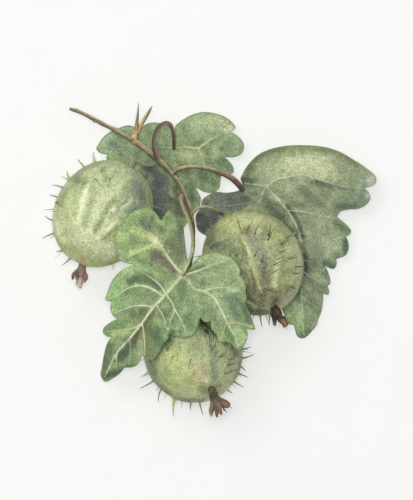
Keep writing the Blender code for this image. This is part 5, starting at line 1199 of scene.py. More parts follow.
def make_leaf(key, paint):
    """A bent blade with raised veins, pillows between the small ones and a thin edge."""
    leaf, tints, looks = LEAVES[key], LEAF_TINTS[key], VEIN_LOOKS[key]
    draw = random.Random("veins of the " + key + " leaf")
    outline = leaf_outline(leaf)
    veins = [smooth_path(vein, BLADE_SPACING)[:, :2] for vein in leaf["veins"]]
    branches = side_veins(veins, outline, draw)
    flat, triangles = blade_triangles(outline, veins + branches)

    fine = [smooth_path(vein, VEIN_SPACING)[:, :2] for vein in leaf["veins"]]
    vein_gap, which = nearest(flat, np.vstack(fine))
    vein_width, vein_shown = (values[which] for values in vein_values(fine, looks))
    branch_gap, _ = nearest(flat, np.vstack([smooth_path(line, 0.06) for line in branches]))
    edge_gap, _ = nearest(flat, np.vstack([outline, (outline + np.roll(outline, 1, axis=0)) / 2]))

    base = blade_height(leaf)(flat, vein_gap)
    cord = bell(vein_gap / vein_width)
    pillow = 1 - bell(branch_gap / 0.5)
    free = smooth_step(MODEL_THICKNESS + 0.05, MODEL_THICKNESS + 1.0, base)
    inland = smooth_step(0.0, 1.2, edge_gap)
    crumple = wander(flat, 2.6, 5) * CRUMPLE * inland
    relief = VEIN_HEIGHT * cord + BRANCH_PILLOW * pillow * inland + crumple - VEIN_HEIGHT
    top = base + free * relief
    solid = np.column_stack([flat, top])
    thin = RIM_THICKNESS + (BLADE_THICKNESS - RIM_THICKNESS) * inland + VEIN_RELIEF * cord
    thick = np.where(free > 0, thin + (MODEL_THICKNESS - thin) * (1 - free), MODEL_THICKNESS)
    under = np.maximum(top - thick * steepness(flat, top, triangles), 0.0)

    count = len(flat)
    owned = dict.fromkeys(
        edge for a, b, c in triangles.tolist() for edge in ((a, b), (b, c), (c, a))
    )
    walls = [(b, a, a + count, b + count) for a, b in owned if (b, a) not in owned]
    faces = triangles.tolist() + (triangles[:, ::-1] + count).tolist() + walls
    # Painted light and shade on the blade: lighter beside a vein on the side towards LIGHT_WAY, darker on
    # the other, and painted shade in the angles where veins part.
    sides = (flat - np.vstack(fine)[which]) @ unit(LIGHT_WAY) / np.maximum(vein_gap, 1e-6)
    painted_vein_shade = bell((vein_gap - 0.65) / 0.6) * vein_shown
    joint_gap, _ = nearest(flat, np.array([line[0] for line in fine[1:]]))
    tone = 1 + painted_vein_shade * np.where(sides > 0, *VEIN_PAINTED_SHADES) * sides
    tone *= 1 - AXIL_PAINTED_SHADE * bell(joint_gap / AXIL_REACH) * (1 - cord)
    tone *= 1 + tints["edge"] * bell((edge_gap - 0.5) / 0.8)
    tone *= 1 + 0.06 * wander(flat, 1.1, 70) * inland
    upper_colour = patched(solid, tints["base"], tints["patches"]) * tone[:, None]
    under_colour = np.tile(linear(tints["under"]), (count, 1))
    piece = mesh_object(
        "leaf_blade_" + key, np.vstack([solid, np.column_stack([flat, under])]), faces, paint,
        tint=np.vstack([upper_colour, under_colour]),
        vein=np.tile(np.clip(vein_gap / vein_width, 0, 8), 2),
        shown=np.tile(vein_shown, 2),
        vein_colour=np.tile(linear(looks["colour"]), (2 * count, 1)),
        branch=np.tile(np.clip(branch_gap / SIDE_VEIN_WIDTH, 0, 8), 2),
        margin=np.tile(edge_gap, 2),
        below=np.concatenate([np.zeros(count), np.ones(count)]),
    )
    place(piece, "leaf", "leaf_" + key)


# ---- fruits


def make_fruit(key, paint):
    """A ridged ball with pale stripes from stalk to flower, flat where it rests."""
    fruit, tints = FRUITS[key], FRUIT_TINTS[key]
    axis = unit(fruit["blossom"])
    side = unit(np.cross(axis, (0.0, 0.0, 1.0)))
    other = np.cross(side, axis)
    centre, length, radius = np.array(fruit["centre"]), fruit["half_length"], fruit["radius"]
    polar = np.pi * np.arange(1, FRUIT_ROWS) / FRUIT_ROWS
    turns = 2 * np.pi * np.arange(FRUIT_SEGMENTS) / FRUIT_SEGMENTS
    theta, phi = (grid.ravel() for grid in np.meshgrid(polar, turns, indexing="ij"))
    theta = np.concatenate([[0.0], theta, [np.pi]])
    phi = np.concatenate([[0.0], phi, [0.0]])
    outward = np.cos(phi)[:, None] * side + np.sin(phi)[:, None] * other
    rough = np.cos(theta)[:, None] * -axis + np.sin(theta)[:, None] * outward

    stripe = np.zeros(len(theta))
    way = theta / np.pi
    for number, (angle, width, strength, *ends) in enumerate(FRUIT_STRIPES[key]):
        first_at, last_at = ends or (0.0, 1.0)
        sway = 0.05 * np.sin(2.2 * theta + 1.7 * number)
        turn = (phi - math.radians(angle) - sway + np.pi) % (2 * np.pi) - np.pi
        gap = np.abs(turn) * radius * np.sin(theta)
        wide = width * (0.75 + 0.35 * np.sin(theta)) * (1 + 0.3 * wander(rough, 0.5, number))
        shown = smooth_step(first_at - 0.1, first_at, way)
        shown = shown * smooth_step(last_at + 0.1, last_at, way)
        stripe = np.maximum(stripe, strength * shown * bell(gap / wide))
    stripe *= 0.8 + 0.25 * wander(rough, 0.35, 40)

    ridge = 1 + RIDGE_HEIGHT * np.cos(FRUIT_RIDGES * phi)
    swell = 1 + SKIN_WAVE * wander(rough, 0.6, 41) + STRIPE_RISE * stripe
    dimple = STALK_DIMPLE[0] * bell(theta / STALK_DIMPLE[1])
    dimple += FLOWER_DIMPLE[0] * bell((np.pi - theta) / FLOWER_DIMPLE[1])
    reach = radius * np.sin(theta) * ridge * swell
    points = centre - ((length * swell - dimple) * np.cos(theta))[:, None] * axis
    points += reach[:, None] * outward
    points[:, 2] = np.maximum(points[:, 2], 0.0)

    last, first = len(points) - 1, len(points) - 1 - FRUIT_SEGMENTS
    faces = []
    for segment in range(FRUIT_SEGMENTS):
        following = (segment + 1) % FRUIT_SEGMENTS
        faces.append((0, 1 + segment, 1 + following))
        faces.append((last, first + following, first + segment))
        for row in range(FRUIT_ROWS - 2):
            a = 1 + row * FRUIT_SEGMENTS
            b = a + FRUIT_SEGMENTS
            faces.append((a + segment, b + segment, b + following, a + following))
    form = points - centre
    facing = form / radius**2 + np.outer(form @ axis, axis) * (1 / length**2 - 1 / radius**2)
    # Tint and shading patches go on the upward faces; the sides and underside take the darker side colour,
    # painted shade.
    upper = smooth_step(-0.08, 0.12, facing[:, 2] / np.linalg.norm(facing, axis=1))[:, None]
    plain = linear(tints["side"])
    colours = plain + upper * (patched(points, tints["base"], tints["patches"]) - plain)
    piece = mesh_object(
        "berry_skin_" + key, points, faces, paint,
        tint=colours, stripe=stripe * (1 - 0.55 * upper[:, 0]),
        flower_end=bell((np.pi - theta) / 0.3),
        skin=np.column_stack([np.cos(phi), np.sin(phi), STREAK_STRETCH * theta]),
    )
    place(piece, "berry_skin", "berry_" + key)


def surface_point(fruit, direction):
    """Where a ray from a fruit's middle leaves it, and the outward normal there."""
    axis = unit(fruit["blossom"])
    along = direction.dot(axis)
    across = direction - along * axis
    length, radius = fruit["half_length"], fruit["radius"]
    stretch = math.sqrt((along / length) ** 2 + across.dot(across) / radius**2)
    normal = unit(along / length**2 * axis + across / radius**2)
    return np.array(fruit["centre"]) + direction / stretch, normal


def on_upper_face(fruit, spots):
    """Points of a fruit's upper face over some places (x, y)."""
    heights = fruit_side(fruit, np.array(spots), 0.0, 1)
    return [np.array([*spot, height]) for spot, height in zip(spots, heights)]


def model_trees(without):
    """Search trees of the model's nodes but one, in metres."""
    trees = []
    for name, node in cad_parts.items():
        if name != without:
            corners = [vert.co for vert in node.data.vertices]
            faces = [tuple(face.vertices) for face in node.data.polygons]
            trees.append(BVHTree.FromPolygons(corners, faces))
    return trees


def stands_clear(root, tip, trees):
    """Whether a bristle from root to tip keeps its distance from every other piece."""
    if tip[2] < 0.1 or root[2] < 0.8:
        return False
    for share in CLEAR_SHARES:
        spot = in_frame([root + share * (tip - root)])[0]
        if any(tree.find_nearest(Vector(spot), 1.6 * GAP * MM)[0] is not None for tree in trees):
            return False
    return True


def bristle_plan(key, fruit, draw):
    """Root, normal, tip, thickness, and last the tints of root and tip, for each bristle.

    Those on the upper face add how far their root swells, which is not at all."""
    axis = unit(fruit["blossom"])
    centre = np.array(fruit["centre"])
    plan = []
    for angle, tip in RIM_BRISTLES[key]:
        turn = math.radians(angle)
        root, normal = surface_point(fruit, np.array([math.cos(turn), math.sin(turn), 0.0]))
        tints, thick = (BRISTLE_ROOT_TINT, BRISTLE_TIP_TINT[key]), RIM_BRISTLE_THICKNESS
        if angle in PALE_BRISTLES[key]:
            tints, thick = (PALE_BRISTLE_TINT, PALE_BRISTLE_TINT), PALE_BRISTLE_THICKNESS
        tip = np.array([*tip, centre[2] + draw.uniform(-0.4, 0.4)])
        plan.append((root, normal, tip, thick, tints))
    golden = math.pi * (3 - math.sqrt(5))
    for number in range(BRISTLES_PER_FRUIT):
        z = 1 - 2 * (number + 0.5) / BRISTLES_PER_FRUIT
        turn = golden * number + draw.uniform(-0.25, 0.25)
        level = math.sqrt(1 - z * z)
        direction = np.array([level * math.cos(turn), level * math.sin(turn), z])
        length = draw.uniform(*BRISTLE_LENGTHS)
        if abs(direction.dot(axis)) > 0.95 or abs(z) < 0.12:
            continue
        root, normal = surface_point(fruit, direction)
        lean = axis - normal * axis.dot(normal)
        tip = root + length * unit(normal + BRISTLE_LEAN * lean)
        seen = normal[2] > 0.1
        tints = (BRISTLE_ROOT_TINT, PALE_BRISTLE_TINT if seen else BRISTLE_TIP_TINT[key])
        thick = UPPER_BRISTLE_THICKNESS if seen else LOWER_BRISTLE_THICKNESS
        plan.append((root, normal, tip, thick, tints))
    for root_xy, tip_xy, lift in FACE_BRISTLES[key]:
        root, tip = on_upper_face(fruit, (root_xy, tip_xy))
        _, normal = surface_point(fruit, unit(root - centre))
        tints = (BRISTLE_TIP_TINT[key], BRISTLE_TIP_TINT[key], 0.0)
        plan.append((root, normal, tip + (0, 0, lift), FACE_BRISTLE_THICKNESS, tints))
    return plan


def make_bristles(key, paint):
    """Stiff hairs with swollen roots, each bent a little, and a fine short down."""
    fruit = FRUITS[key]
    draw = random.Random("bristles of the " + key + " fruit")
    trees = model_trees("berry_" + key)
    points, faces, colours = [], [], []

    def add(root, normal, tip, thick, sides, rings, root_tint, tip_tint, bulge=0.5):
        length = np.linalg.norm(tip - root)
        share = np.linspace(0, 1, rings)[:, None]
        start = root - 0.3 * normal
        knee = root + 0.45 * length * unit(normal + 0.6 * unit(tip - root))
        route = (1 - share) ** 2 * start + 2 * share * (1 - share) * knee + share**2 * tip
        width = BRISTLE_TIP + (1 - share) ** 1.3 * (1 - BRISTLE_TIP)
        width = thick * (width + bulge * bell(share / 0.14))
        body, body_faces, along, _ = swept(np.column_stack([route, width]), sides)
        first = sum(len(group) for group in points)
        points.append(body)
        faces.extend(tuple(first + corner for corner in face) for face in body_faces)
        tone = smooth_step(0.1, 0.9, along / along[-1])[:, None]
        colours.append(linear(root_tint) * (1 - tone) + linear(tip_tint) * tone)

    for root, normal, tip, thick, tints in bristle_plan(key, fruit, draw):
        if stands_clear(root, tip, trees):
            add(root, normal, tip, thick * BRISTLE_RADIUS, BRISTLE_SIDES, BRISTLE_RINGS, *tints)
    for _ in range(DOWN_PER_FRUIT):
        direction = unit([draw.gauss(0, 1) for _ in range(3)])
        root, normal = surface_point(fruit, direction)
        stray = np.array([draw.uniform(-0.5, 0.5) for _ in range(3)])
        tip = root + draw.uniform(*DOWN_LENGTHS) * unit(normal + stray)
        if stands_clear(root, tip, trees):
            add(root, normal, tip, DOWN_RADIUS, 3, 4, DOWN_TINT, DOWN_TINT)
    for _ in range(FUZZ_COUNT if key == FUZZY_FRUIT else 0):
        x, y = draw.uniform(*FUZZ_X), draw.uniform(*FUZZ_Y)
        end = (x + draw.uniform(-0.7, 0.7), y + draw.uniform(*FUZZ_RISE))
        root, tip = on_upper_face(fruit, ((x, y), end))
        tip = tip + (0, 0, FUZZ_LIFT)
        if stands_clear(root, tip, trees):
            _, normal = surface_point(fruit, unit(root - fruit["centre"]))
            add(root, normal, tip, FUZZ_RADIUS, 3, 5, DOWN_TINT, DOWN_TINT, 0.0)
    piece = mesh_object("bristles_" + key, np.vstack(points), faces, paint, tint=np.vstack(colours))
    place(piece, "berry_skin")


def make_flower(key, paint):
    """The dried flower: a short ribbed neck and shrivelled, twisted sepals and threads."""
    fruit, strands, tints = FRUITS[key], CALYX_STRANDS[key], FLOWER_TINTS[key]
    draw = random.Random("flower of the " + key + " fruit")
    heading = np.mean([strand[0][:3] for strand in strands], axis=0) - fruit["centre"]
    pole, axis = surface_point(fruit, unit(heading))
    stops = [(*(pole + far * axis), CALYX_NECK * wide) for far, wide in NECK_STOPS]

    def ribbed(far, turns):
        return 1 + 0.12 * np.cos(7 * turns + 0.6 * far) + 0.05 * np.cos(3 * turns + 2 * far)

    bodies = [swept(smooth_path(stops, 0.2), NECK_SIDES, wave=ribbed)[:2]]
    for strand in strands:
        first, tip = np.array(strand[0]), np.array(strand[-1][:3])
        root = first[:3] + SEPAL_SINK * (pole - first[:3])
        route = smooth_path([(*root, first[3]), *strand], 0.12)
        count = len(route)
        sway = np.sin(np.linspace(0, draw.uniform(4, 8), count) + draw.uniform(0, 6))
        route[:, :3] += 0.07 * sway[:, None] * np.array([draw.uniform(-1, 1) for _ in range(3)])
        route[:, 3] *= 1 + 0.12 * np.sin(np.linspace(0, draw.uniform(8, 14), count))
        phase = draw.uniform(0, 6)

        def pleated(far, turns, phase=phase):
            wide = 0.16 * np.cos(3 * turns + 1.1 * far + phase)
            return 1 + wide + 0.12 * np.cos(5 * turns - far)

        twist = draw.uniform(-0.12, 0.12)
        bodies.append(swept(route, SEPAL_SIDES, SEPAL_FLATNESS, twist, pleated)[:2])
        for _ in range(THREADS_PER_SEPAL):
            spread = np.array([draw.uniform(-0.35, 0.35) for _ in range(3)])
            end = tip + spread + 0.3 * unit(tip - first[:3])
            bend = (root + tip) / 2 + 0.5 * spread
            thread = [(*spot, wide) for spot, wide in zip((root, bend, end), THREAD_RADII)]
            bodies.append(swept(smooth_path(thread, 0.15), 8)[:2])
    points, normals, faces = fused(bodies, FLOWER_VOXEL, 1)
    points += normals * (0.03 * wander(points, 0.5, 3))[:, None]
    along = np.outer((points - pole) @ axis, axis)
    # Painted shade: faces of the dried flower that turn sideways or down are darker than those facing up.
    tone = 0.55 + 0.5 * smooth_step(-0.1, 0.8, normals[:, 2])
    piece = mesh_object(
        "dry_flower_" + key, points, faces, paint,
        tint=patched(points, tints["base"], tints["patches"]) * tone[:, None],
        fibre=(points - along - pole) * 1.6 + along * 0.25,
    )
    place(piece, "dry_flower", "calyx_" + key)


# ---- twig and stems


def fibre_vector(along, around):
    return np.column_stack([np.cos(around), np.sin(around), along * FIBRE_STRETCH])


def fibre_values(points, path):
    """For each point a vector that changes slowly along a path and fast round it."""
    spine = path[:, :3]
    _, which = nearest(points, spine)
    forward, gone = headings(spine), distances(spine)
    offset = points - spine[which]
    along = gone[which] + (offset * forward[which]).sum(axis=1)
    side = np.cross(forward[which], (0.0, 0.0, 1.0))
    side /= np.maximum(np.linalg.norm(side, axis=1), 1e-6)[:, None]
    up = np.cross(side, forward[which])
    around = np.arctan2((offset * up).sum(axis=1), (offset * side).sum(axis=1))
    return fibre_vector(along, around)


def make_twig(paint):
    """Twig, forked thorn, bud and scars melted into one skin, then barked."""
    route = smooth_path(TWIG, 0.25)
    bodies = [swept(route, STEM_SIDES)[:2]]
    for prong in THORN_PRONGS:
        bodies.append(swept(smooth_path(prong, 0.2), 18, 0.85)[:2])
    bodies.append(swept(smooth_path(BUD, 0.15), 14)[:2])
    for at, wide in TWIG_KNOTS:
        spot = route[int(at * (len(route) - 1))]
        body = [
            (*(spot[:3] + (shift, -0.5 * shift, 0.0)), grow * spot[3] * wide)
            for shift, grow in KNOT_FORM
        ]
        bodies.append(swept(smooth_path(body, 0.2), 18)[:2])
    points, normals, faces = fused(bodies, TWIG_VOXEL, 2)
    fibre = fibre_values(points, route)
    folds = wander(fibre * (1.6, 1.6, 3.0), 1.0, 11)
    lumps = wander(points, 2.4, 12)
    prongs = [smooth_path(prong, 0.3)[:, :3] for prong in THORN_PRONGS]
    thorn_gap, _ = nearest(points, np.vstack(prongs))
    reach = np.linalg.norm(points - np.array(THORN_PRONGS[0][0][:3]), axis=1)
    twig_gap, _ = nearest(points, route[:, :3])
    on_thorn = smooth_step(0.55, 1.0, twig_gap) * smooth_step(1.6, 1.1, thorn_gap)
    bark = 1 - on_thorn
    points = points + normals * (bark * (BARK_FOLDS * folds + BARK_LUMPS * lumps))[:, None]
    old = patched(points, BARK_TINT, BARK_PATCHES) * (1 + 0.12 * lumps)[:, None]
    # Painted highlight on one side of the bark and painted shade on the other.
    old = painted_light_sides(old, normals, BARK_PAINTED_SIDES)
    cut = smooth_step(0.7, 0.2, np.linalg.norm(points - np.array(TWIG[0][:3]), axis=1))[:, None]
    old = old + cut * 0.7 * (linear(CUT_TINT) - old)
    horn, tip = linear(THORN_TINT), linear(THORN_TIP_TINT)
    horn = horn + smooth_step(2.5, 8.0, reach)[:, None] * (tip - horn)
    # Painted highlight on one side of the thorn and painted shade on the other.
    horn = painted_light_sides(horn, normals, THORN_PAINTED_SIDES)
    colours = old * bark[:, None] + horn * on_thorn[:, None]
    piece = mesh_object("twig_bark", points, faces, paint, tint=colours, fibre=fibre)
    place(piece, "bark", "twig")


def make_stem(name, paint, slot):
    """A grooved stalk that flares where it starts."""
    tints = STEM_TINTS[name]
    route = smooth_path(STEMS[name], STEM_SPACING)
    gone = np.arange(len(route)) * STEM_SPACING
    route[:, 3] *= 1 + STEM_FLARE * bell(gone / 1.0)
    phase = len(name)

    def grooved(far, turns):
        wide = 0.05 * np.cos(2 * turns + 0.15 * far + phase)
        return 1 + wide + 0.035 * np.cos(5 * turns + 0.4 * far)

    points, faces, along, around = swept(route, STEM_SIDES, wave=grooved)
    centres = np.column_stack([np.interp(along, gone, column) for column in route[:, :3].T])
    outward = points - centres
    outward /= np.maximum(np.linalg.norm(outward, axis=1), 1e-6)[:, None]
    colours = patched(points, tints["base"], tints["patches"])
    # The stalk's tint gets a painted highlight on one side and painted shade on the other.
    piece = mesh_object(
        "stem_" + name, points, faces, paint,
        tint=painted_light_sides(colours, outward, tints["edges"]), fibre=fibre_vector(along, around),
    )
    place(piece, slot, name)


# ---- finishes


class Wiring:
    """Adds nodes to one tree; an input given as a socket is linked, any other is set."""

    def __init__(self, tree):
        self.tree = tree

    def add(self, kind, inputs=None, **settings):
        node = self.tree.nodes.new(kind)
        for label, value in settings.items():
            setattr(node, label, value)
        for label, value in (inputs or {}).items():
            if isinstance(value, bpy.types.NodeSocket):
                self.tree.links.new(value, node.inputs[label])
            else:
                node.inputs[label].default_value = value
        return node

    def math(self, operation, a, b):
        return self.add("ShaderNodeMath", {0: a, 1: b}, operation=operation).outputs[0]

    def times(self, a, b):
        return self.math("MULTIPLY", a, b)

    def plus(self, a, b):
        return self.math("ADD", a, b)

    def ramp(self, value, low, high, start=0.0, end=1.0):
        spread = {"Value": value, "From Min": low, "From Max": high, "To Min": start, "To Max": end}
        return self.add("ShaderNodeMapRange", spread, interpolation_type="SMOOTHSTEP").outputs[0]

    def mix(self, share, a, b):
        inputs = {0: share, 6: a, 7: b}
        return self.add("ShaderNodeMix", inputs, data_type="RGBA").outputs[2]

    def noise(self, vector, size, detail=3.0, roughness=0.5, distortion=0.0):
        inputs = {"Vector": vector, "Scale": size, "Detail": detail}
        inputs.update({"Roughness": roughness, "Distortion": distortion})
        return self.add("ShaderNodeTexNoise", inputs).outputs["Fac"]

    def stored(self, label, output="Fac"):
        return self.add("ShaderNodeAttribute", attribute_name=label).outputs[output]

    def shade(self, colour, value, hue=0.5):
        inputs = {"Hue": hue, "Saturation": 1.0, "Value": value, "Fac": 1.0, "Color": colour}
        return self.add("ShaderNodeHueSaturation", inputs).outputs["Color"]

    def bump(self, height, distance, strength):
        inputs = {"Height": height, "Distance": distance, "Strength": strength}
        return self.add("ShaderNodeBump", inputs).outputs["Normal"]


def rgba(colour):
    return (*linear(colour), 1.0)


def node_group(name, given, made, build):
    """A shared effect: its inputs and outputs by name and kind, then its inside."""
    tree = bpy.data.node_groups.new(name, "ShaderNodeTree")
    for way, sockets in (("INPUT", given), ("OUTPUT", made)):
        for label, kind in sockets.items():
            tree.interface.new_socket(name=label, in_out=way, socket_type="NodeSocket" + kind)
    wires = Wiring(tree)
    start, end = wires.add("NodeGroupInput"), wires.add("NodeGroupOutput")
    for label, socket in build(wires, start.outputs).items():
        tree.links.new(socket, end.inputs[label])
    return tree


def mottling():
    """Washes of lighter, darker, yellower and bluer colour at two sizes."""

    def build(wires, given):
        spot, size, amount = given["Vector"], given["Size"], given["Amount"]
        wash = wires.noise(spot, size, 4.0, 0.6, 0.6)
        speck = wires.noise(spot, wires.times(size, 4.3), 3.0, 0.65)
        washed, specked = wires.ramp(wash, 0.3, 0.7, -0.6, 0.6), wires.ramp(speck, 0.3, 0.7, -0.4, 0.4)
        lift = wires.plus(washed, specked)
        value = wires.plus(wires.times(lift, amount), 1.0)
        swing = wires.noise(spot, wires.times(size, 1.7), 2.0, 0.5, 0.4)
        turned = wires.times(wires.ramp(swing, 0.3, 0.7, -0.04, 0.04), amount)
        colour = wires.shade(given["Color"], value, wires.plus(turned, 0.5))
        return {"Color": colour, "Lift": lift}

    given = {"Color": "Color", "Vector": "Vector", "Size": "Float", "Amount": "Float"}
    return node_group("mottling", given, {"Color": "Color", "Lift": "Float"}, build)


def cell_net():
    """Thin wavering lines between small cells, as on leaves and fruit skins."""

    def build(wires, given):
        spot, size = given["Vector"], given["Size"]
        sway = wires.add("ShaderNodeTexNoise", {"Vector": spot, "Scale": size, "Detail": 2.0})
        inputs = {0: sway.outputs["Color"], 1: given["Waver"]}
        pushed = wires.add("ShaderNodeVectorMath", inputs, operation="MULTIPLY").outputs[0]
        moved = wires.add("ShaderNodeVectorMath", {0: spot, 1: pushed}, operation="ADD").outputs[0]
        inputs = {"Vector": moved, "Scale": size}
        cells = wires.add("ShaderNodeTexVoronoi", inputs, feature="DISTANCE_TO_EDGE")
        return {"Line": wires.ramp(cells.outputs["Distance"], 0.02, 0.14, 1.0, 0.0)}

    given = {"Vector": "Vector", "Size": "Float", "Waver": "Vector"}
    return node_group("cell net", given, {"Line": "Float"}, build)


def grain():
    """Fine uneven grain, for colour and for relief."""

    def build(wires, given):
        return {"Grain": wires.ramp(wires.noise(given["Vector"], given["Size"], 4.0, 0.7), 0.3, 0.7)}

    return node_group("grain", {"Vector": "Vector", "Size": "Float"}, {"Grain": "Float"}, build)


class Finish(Wiring):
    """A material: its wiring, its Principled BSDF and the shared effects placed in it."""

    def __init__(self, name, groups, plain):
        self.paint = bpy.data.materials.new(name)
        self.paint.use_nodes = True
        super().__init__(self.paint.node_tree)
        self.tree.nodes.clear()
        self.groups = groups
        self.shader = self.add("ShaderNodeBsdfPrincipled", plain)
        end = self.add("ShaderNodeOutputMaterial")
        self.tree.links.new(self.shader.outputs["BSDF"], end.inputs["Surface"])
        self.spot = self.add("ShaderNodeTexCoord").outputs["Object"]

    def feed(self, label, socket):
        self.tree.links.new(socket, self.shader.inputs[label])

    def shared(self, group, inputs):
        return self.add("ShaderNodeGroup", inputs, node_tree=self.groups[group]).outputs

    def mottled(self, colour, size, amount):
        inputs = {"Color": colour, "Vector": self.spot, "Size": size, "Amount": amount}
        return self.shared("mottling", inputs)

    def net(self, size, waver):
        inputs = {"Vector": self.spot, "Size": size, "Waver": (waver, waver, waver)}
        return self.shared("net", inputs)["Line"]

    def grain(self, vector, size):
        return self.shared("grain", {"Vector": vector, "Size": size})["Grain"]


def leaf_finish(groups):
    plain = {"Specular IOR Level": 0.2, "Sheen Weight": 0.04, "Sheen Roughness": 0.5}
    wires = Finish("leaf", groups, plain)
    wash = wires.mottled(
        wires.stored("tint", "Color"), 480.0, wires.ramp(wires.stored("below"), 0.0, 1.0, 0.25, 0.14)
    )
    net, speck = wires.net(1000.0, 0.0006), wires.grain(wires.spot, 3100.0)
    rim = wires.ramp(wires.stored("margin"), 0.0, 0.5, 0.45, 0.0)
    colour = wires.mix(rim, wash["Color"], rgba(RIM_COLOUR))
    value = wires.plus(wires.ramp(speck, 0.0, 1.0, 0.68, 1.33), wires.times(net, 0.1))
    value = wires.plus(value, wires.ramp(wires.stored("branch"), 0.4, 1.5, 0.16, 0.0))
    colour = wires.shade(colour, value)
    cord = wires.ramp(wires.stored("vein"), 0.5, 1.5, 1.0, 0.0)
    patchy = wires.ramp(wires.noise(wires.spot, 420.0, 2.0), 0.35, 0.6, 0.62, 1.0)
    strength = wires.times(wires.times(cord, patchy), wires.stored("shown"))
    wires.feed("Base Color", wires.mix(strength, colour, wires.stored("vein_colour", "Color")))
    wires.feed("Roughness", wires.ramp(speck, 0.0, 1.0, 0.68, 0.55))
    relief = wires.math("SUBTRACT", wires.times(speck, 0.5), wires.times(net, 0.6))
    wires.feed("Normal", wires.bump(relief, 0.00006, 0.9))
    return wires.paint


def fruit_finish(groups):
    plain = {
        "Specular IOR Level": 0.28, "Subsurface Weight": 0.06, "Subsurface Scale": 0.001,
        "Subsurface Radius": (1.0, 1.0, 0.4),
    }
    wires = Finish("berry skin", groups, plain)
    colour = wires.mottled(wires.stored("tint", "Color"), 420.0, 0.24)["Color"]
    skin = wires.stored("skin", "Vector")
    speck = wires.grain(wires.spot, 2900.0)
    streak, thread = wires.grain(skin, 7.0), wires.grain(skin, 20.0)
    layers = [
        (wires.ramp(streak, 0.0, 0.6, 0.2, 0.0), SEED_COLOUR),
        (wires.ramp(thread, 0.5, 1.0, 0.0, 0.26), STRIPE_COLOUR),
        (wires.times(wires.net(620.0, 0.0009), 0.08), STRIPE_COLOUR),
        (wires.times(wires.stored("stripe"), 0.72), STRIPE_COLOUR),
        (wires.times(wires.stored("flower_end"), 0.16), FLOWER_END_COLOUR),
    ]
    for share, tint in layers:
        colour = wires.mix(share, colour, rgba(tint))
    wires.feed("Base Color", wires.shade(colour, wires.ramp(speck, 0.0, 1.0, 0.72, 1.33)))
    wires.feed("Roughness", wires.ramp(speck, 0.0, 1.0, 0.55, 0.42))
    relief = wires.plus(wires.times(speck, 0.4), wires.times(thread, 0.4))
    wires.feed("Normal", wires.bump(relief, 0.00005, 0.8))
    return wires.paint


def fibre_finish(name, groups):
    """Bark, stalks and dried petals: streaks that run along the fibres."""
    streak_colour, amount, rough = FIBRE_FINISHES[name]
    wires = Finish(name, groups, {"Specular IOR Level": 0.3})
    fibre = wires.stored("fibre", "Vector")
    wash = wires.mottled(wires.stored("tint", "Color"), 700.0, 0.3)
    streak, thread = wires.grain(fibre, 2.6), wires.grain(fibre, 7.0)
    dark = wires.times(wires.ramp(streak, 0.0, 0.7, 1.0, 0.0), amount)
    colour = wires.mix(dark, wash["Color"], rgba(streak_colour))
    light = wires.times(wires.ramp(thread, 0.6, 1.0), 0.35)
    wires.feed("Base Color", wires.mix(light, colour, rgba(FIBRE_LIGHT_COLOUR)))
    wires.feed("Roughness", wires.ramp(thread, 0.0, 1.0, rough, rough - 0.18))
    relief = wires.plus(streak, wires.times(thread, 0.5))
    wires.feed("Normal", wires.bump(relief, 0.00007, 0.9))
    return wires.paint


def bristle_finish(groups):
    wires = Finish("bristle", groups, {})
    wash = wires.mottled(wires.stored("tint", "Color"), 900.0, 0.3)
    wires.feed("Base Color", wash["Color"])
    wires.feed("Roughness", wires.ramp(wash["Lift"], -1.0, 1.0, 0.6, 0.45))
    return wires.paint


def floor_finish(groups):
    plain = {"Emission Strength": FLOOR_GLOW, "Roughness": 0.9, "Specular IOR Level": 0.1}
    wires = Finish("floor", groups, plain)
    wash = wires.mottled(rgba(FLOOR_COLOUR), 60.0, 0.006)
    wires.feed("Base Color", wash["Color"])
    wires.feed("Emission Color", wash["Color"])
    return wires.paint


# ---- camera, light and floor


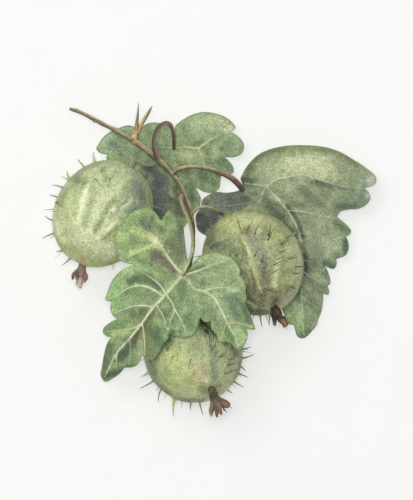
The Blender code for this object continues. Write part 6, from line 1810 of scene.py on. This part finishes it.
def make_camera():
    """Straight above, through a long lens; the frame takes in more floor than sprig."""
    low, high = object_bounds()
    camera = bpy.data.cameras.new("camera")
    camera.lens = LENS
    camera.sensor_width = SENSOR
    camera.clip_start, camera.clip_end = 0.01, 10.0
    holder = added("camera", camera)
    reach = VIEW_HEIGHT * MM * LENS / SENSOR
    middle = (low + high) / 2
    shift_x, shift_y = VIEW_SHIFT
    holder.location = (middle.x + shift_x * MM, middle.y + shift_y * MM, 0.5 * high.z + reach)
    holder.rotation_euler = (0.0, 0.0, 0.0)
    bpy.context.scene.camera = holder


def make_light(name, place_at, size, power, colour):
    lamp = bpy.data.lights.new(name, "AREA")
    lamp.shape = "DISK"
    lamp.size = size
    lamp.energy = power
    lamp.color = colour
    holder = added(name, lamp)
    holder.location = place_at
    aim = Vector(LIGHT_AIM) - Vector(place_at)
    holder.rotation_mode = "QUATERNION"
    holder.rotation_quaternion = aim.to_track_quat("-Z", "Y")


def make_studio(groups):
    mesh = bpy.data.meshes.new("floor")
    ways = ((-1, -1), (1, -1), (1, 1), (-1, 1))
    corners = [(x * FLOOR_SPAN, y * FLOOR_SPAN, -FLOOR_DROP) for x, y in ways]
    mesh.from_pydata(corners, [], [(0, 1, 2, 3)])
    mesh.materials.append(floor_finish(groups))
    added("floor", mesh)

    world = bpy.data.worlds.new("studio")
    world.use_nodes = True
    background = world.node_tree.nodes["Background"]
    background.inputs["Color"].default_value = (1.0, 1.0, 1.0, 1.0)
    background.inputs["Strength"].default_value = WORLD_STRENGTH
    bpy.context.scene.world = world
    bpy.context.scene.view_settings.view_transform = "Standard"
    for name, light in LIGHTS.items():
        make_light(name, *light)


# ---- everything


def main():
    make_camera()
    groups = {"mottling": mottling(), "net": cell_net(), "grain": grain()}
    make_studio(groups)
    leaf = leaf_finish(groups)
    for key in LEAVES:
        make_leaf(key, leaf)
    skin, bristle = fruit_finish(groups), bristle_finish(groups)
    flower = fibre_finish("dry flower", groups)
    for key in FRUITS:
        make_fruit(key, skin)
        make_bristles(key, bristle)
        make_flower(key, flower)
    make_twig(fibre_finish("bark", groups))
    brown, green = (fibre_finish(name, groups) for name in ("brown stalk", "green stalk"))
    for name in ("petiole_top", "petiole_right"):
        make_stem(name, brown, "petiole_brown")
    make_stem("petiole_front", green, "petiole_green")
    for name in ("fruit_stalk_left", "fruit_stalk_right", "fruit_stalk_bottom"):
        make_stem(name, green, "fruit_stalk")


main()
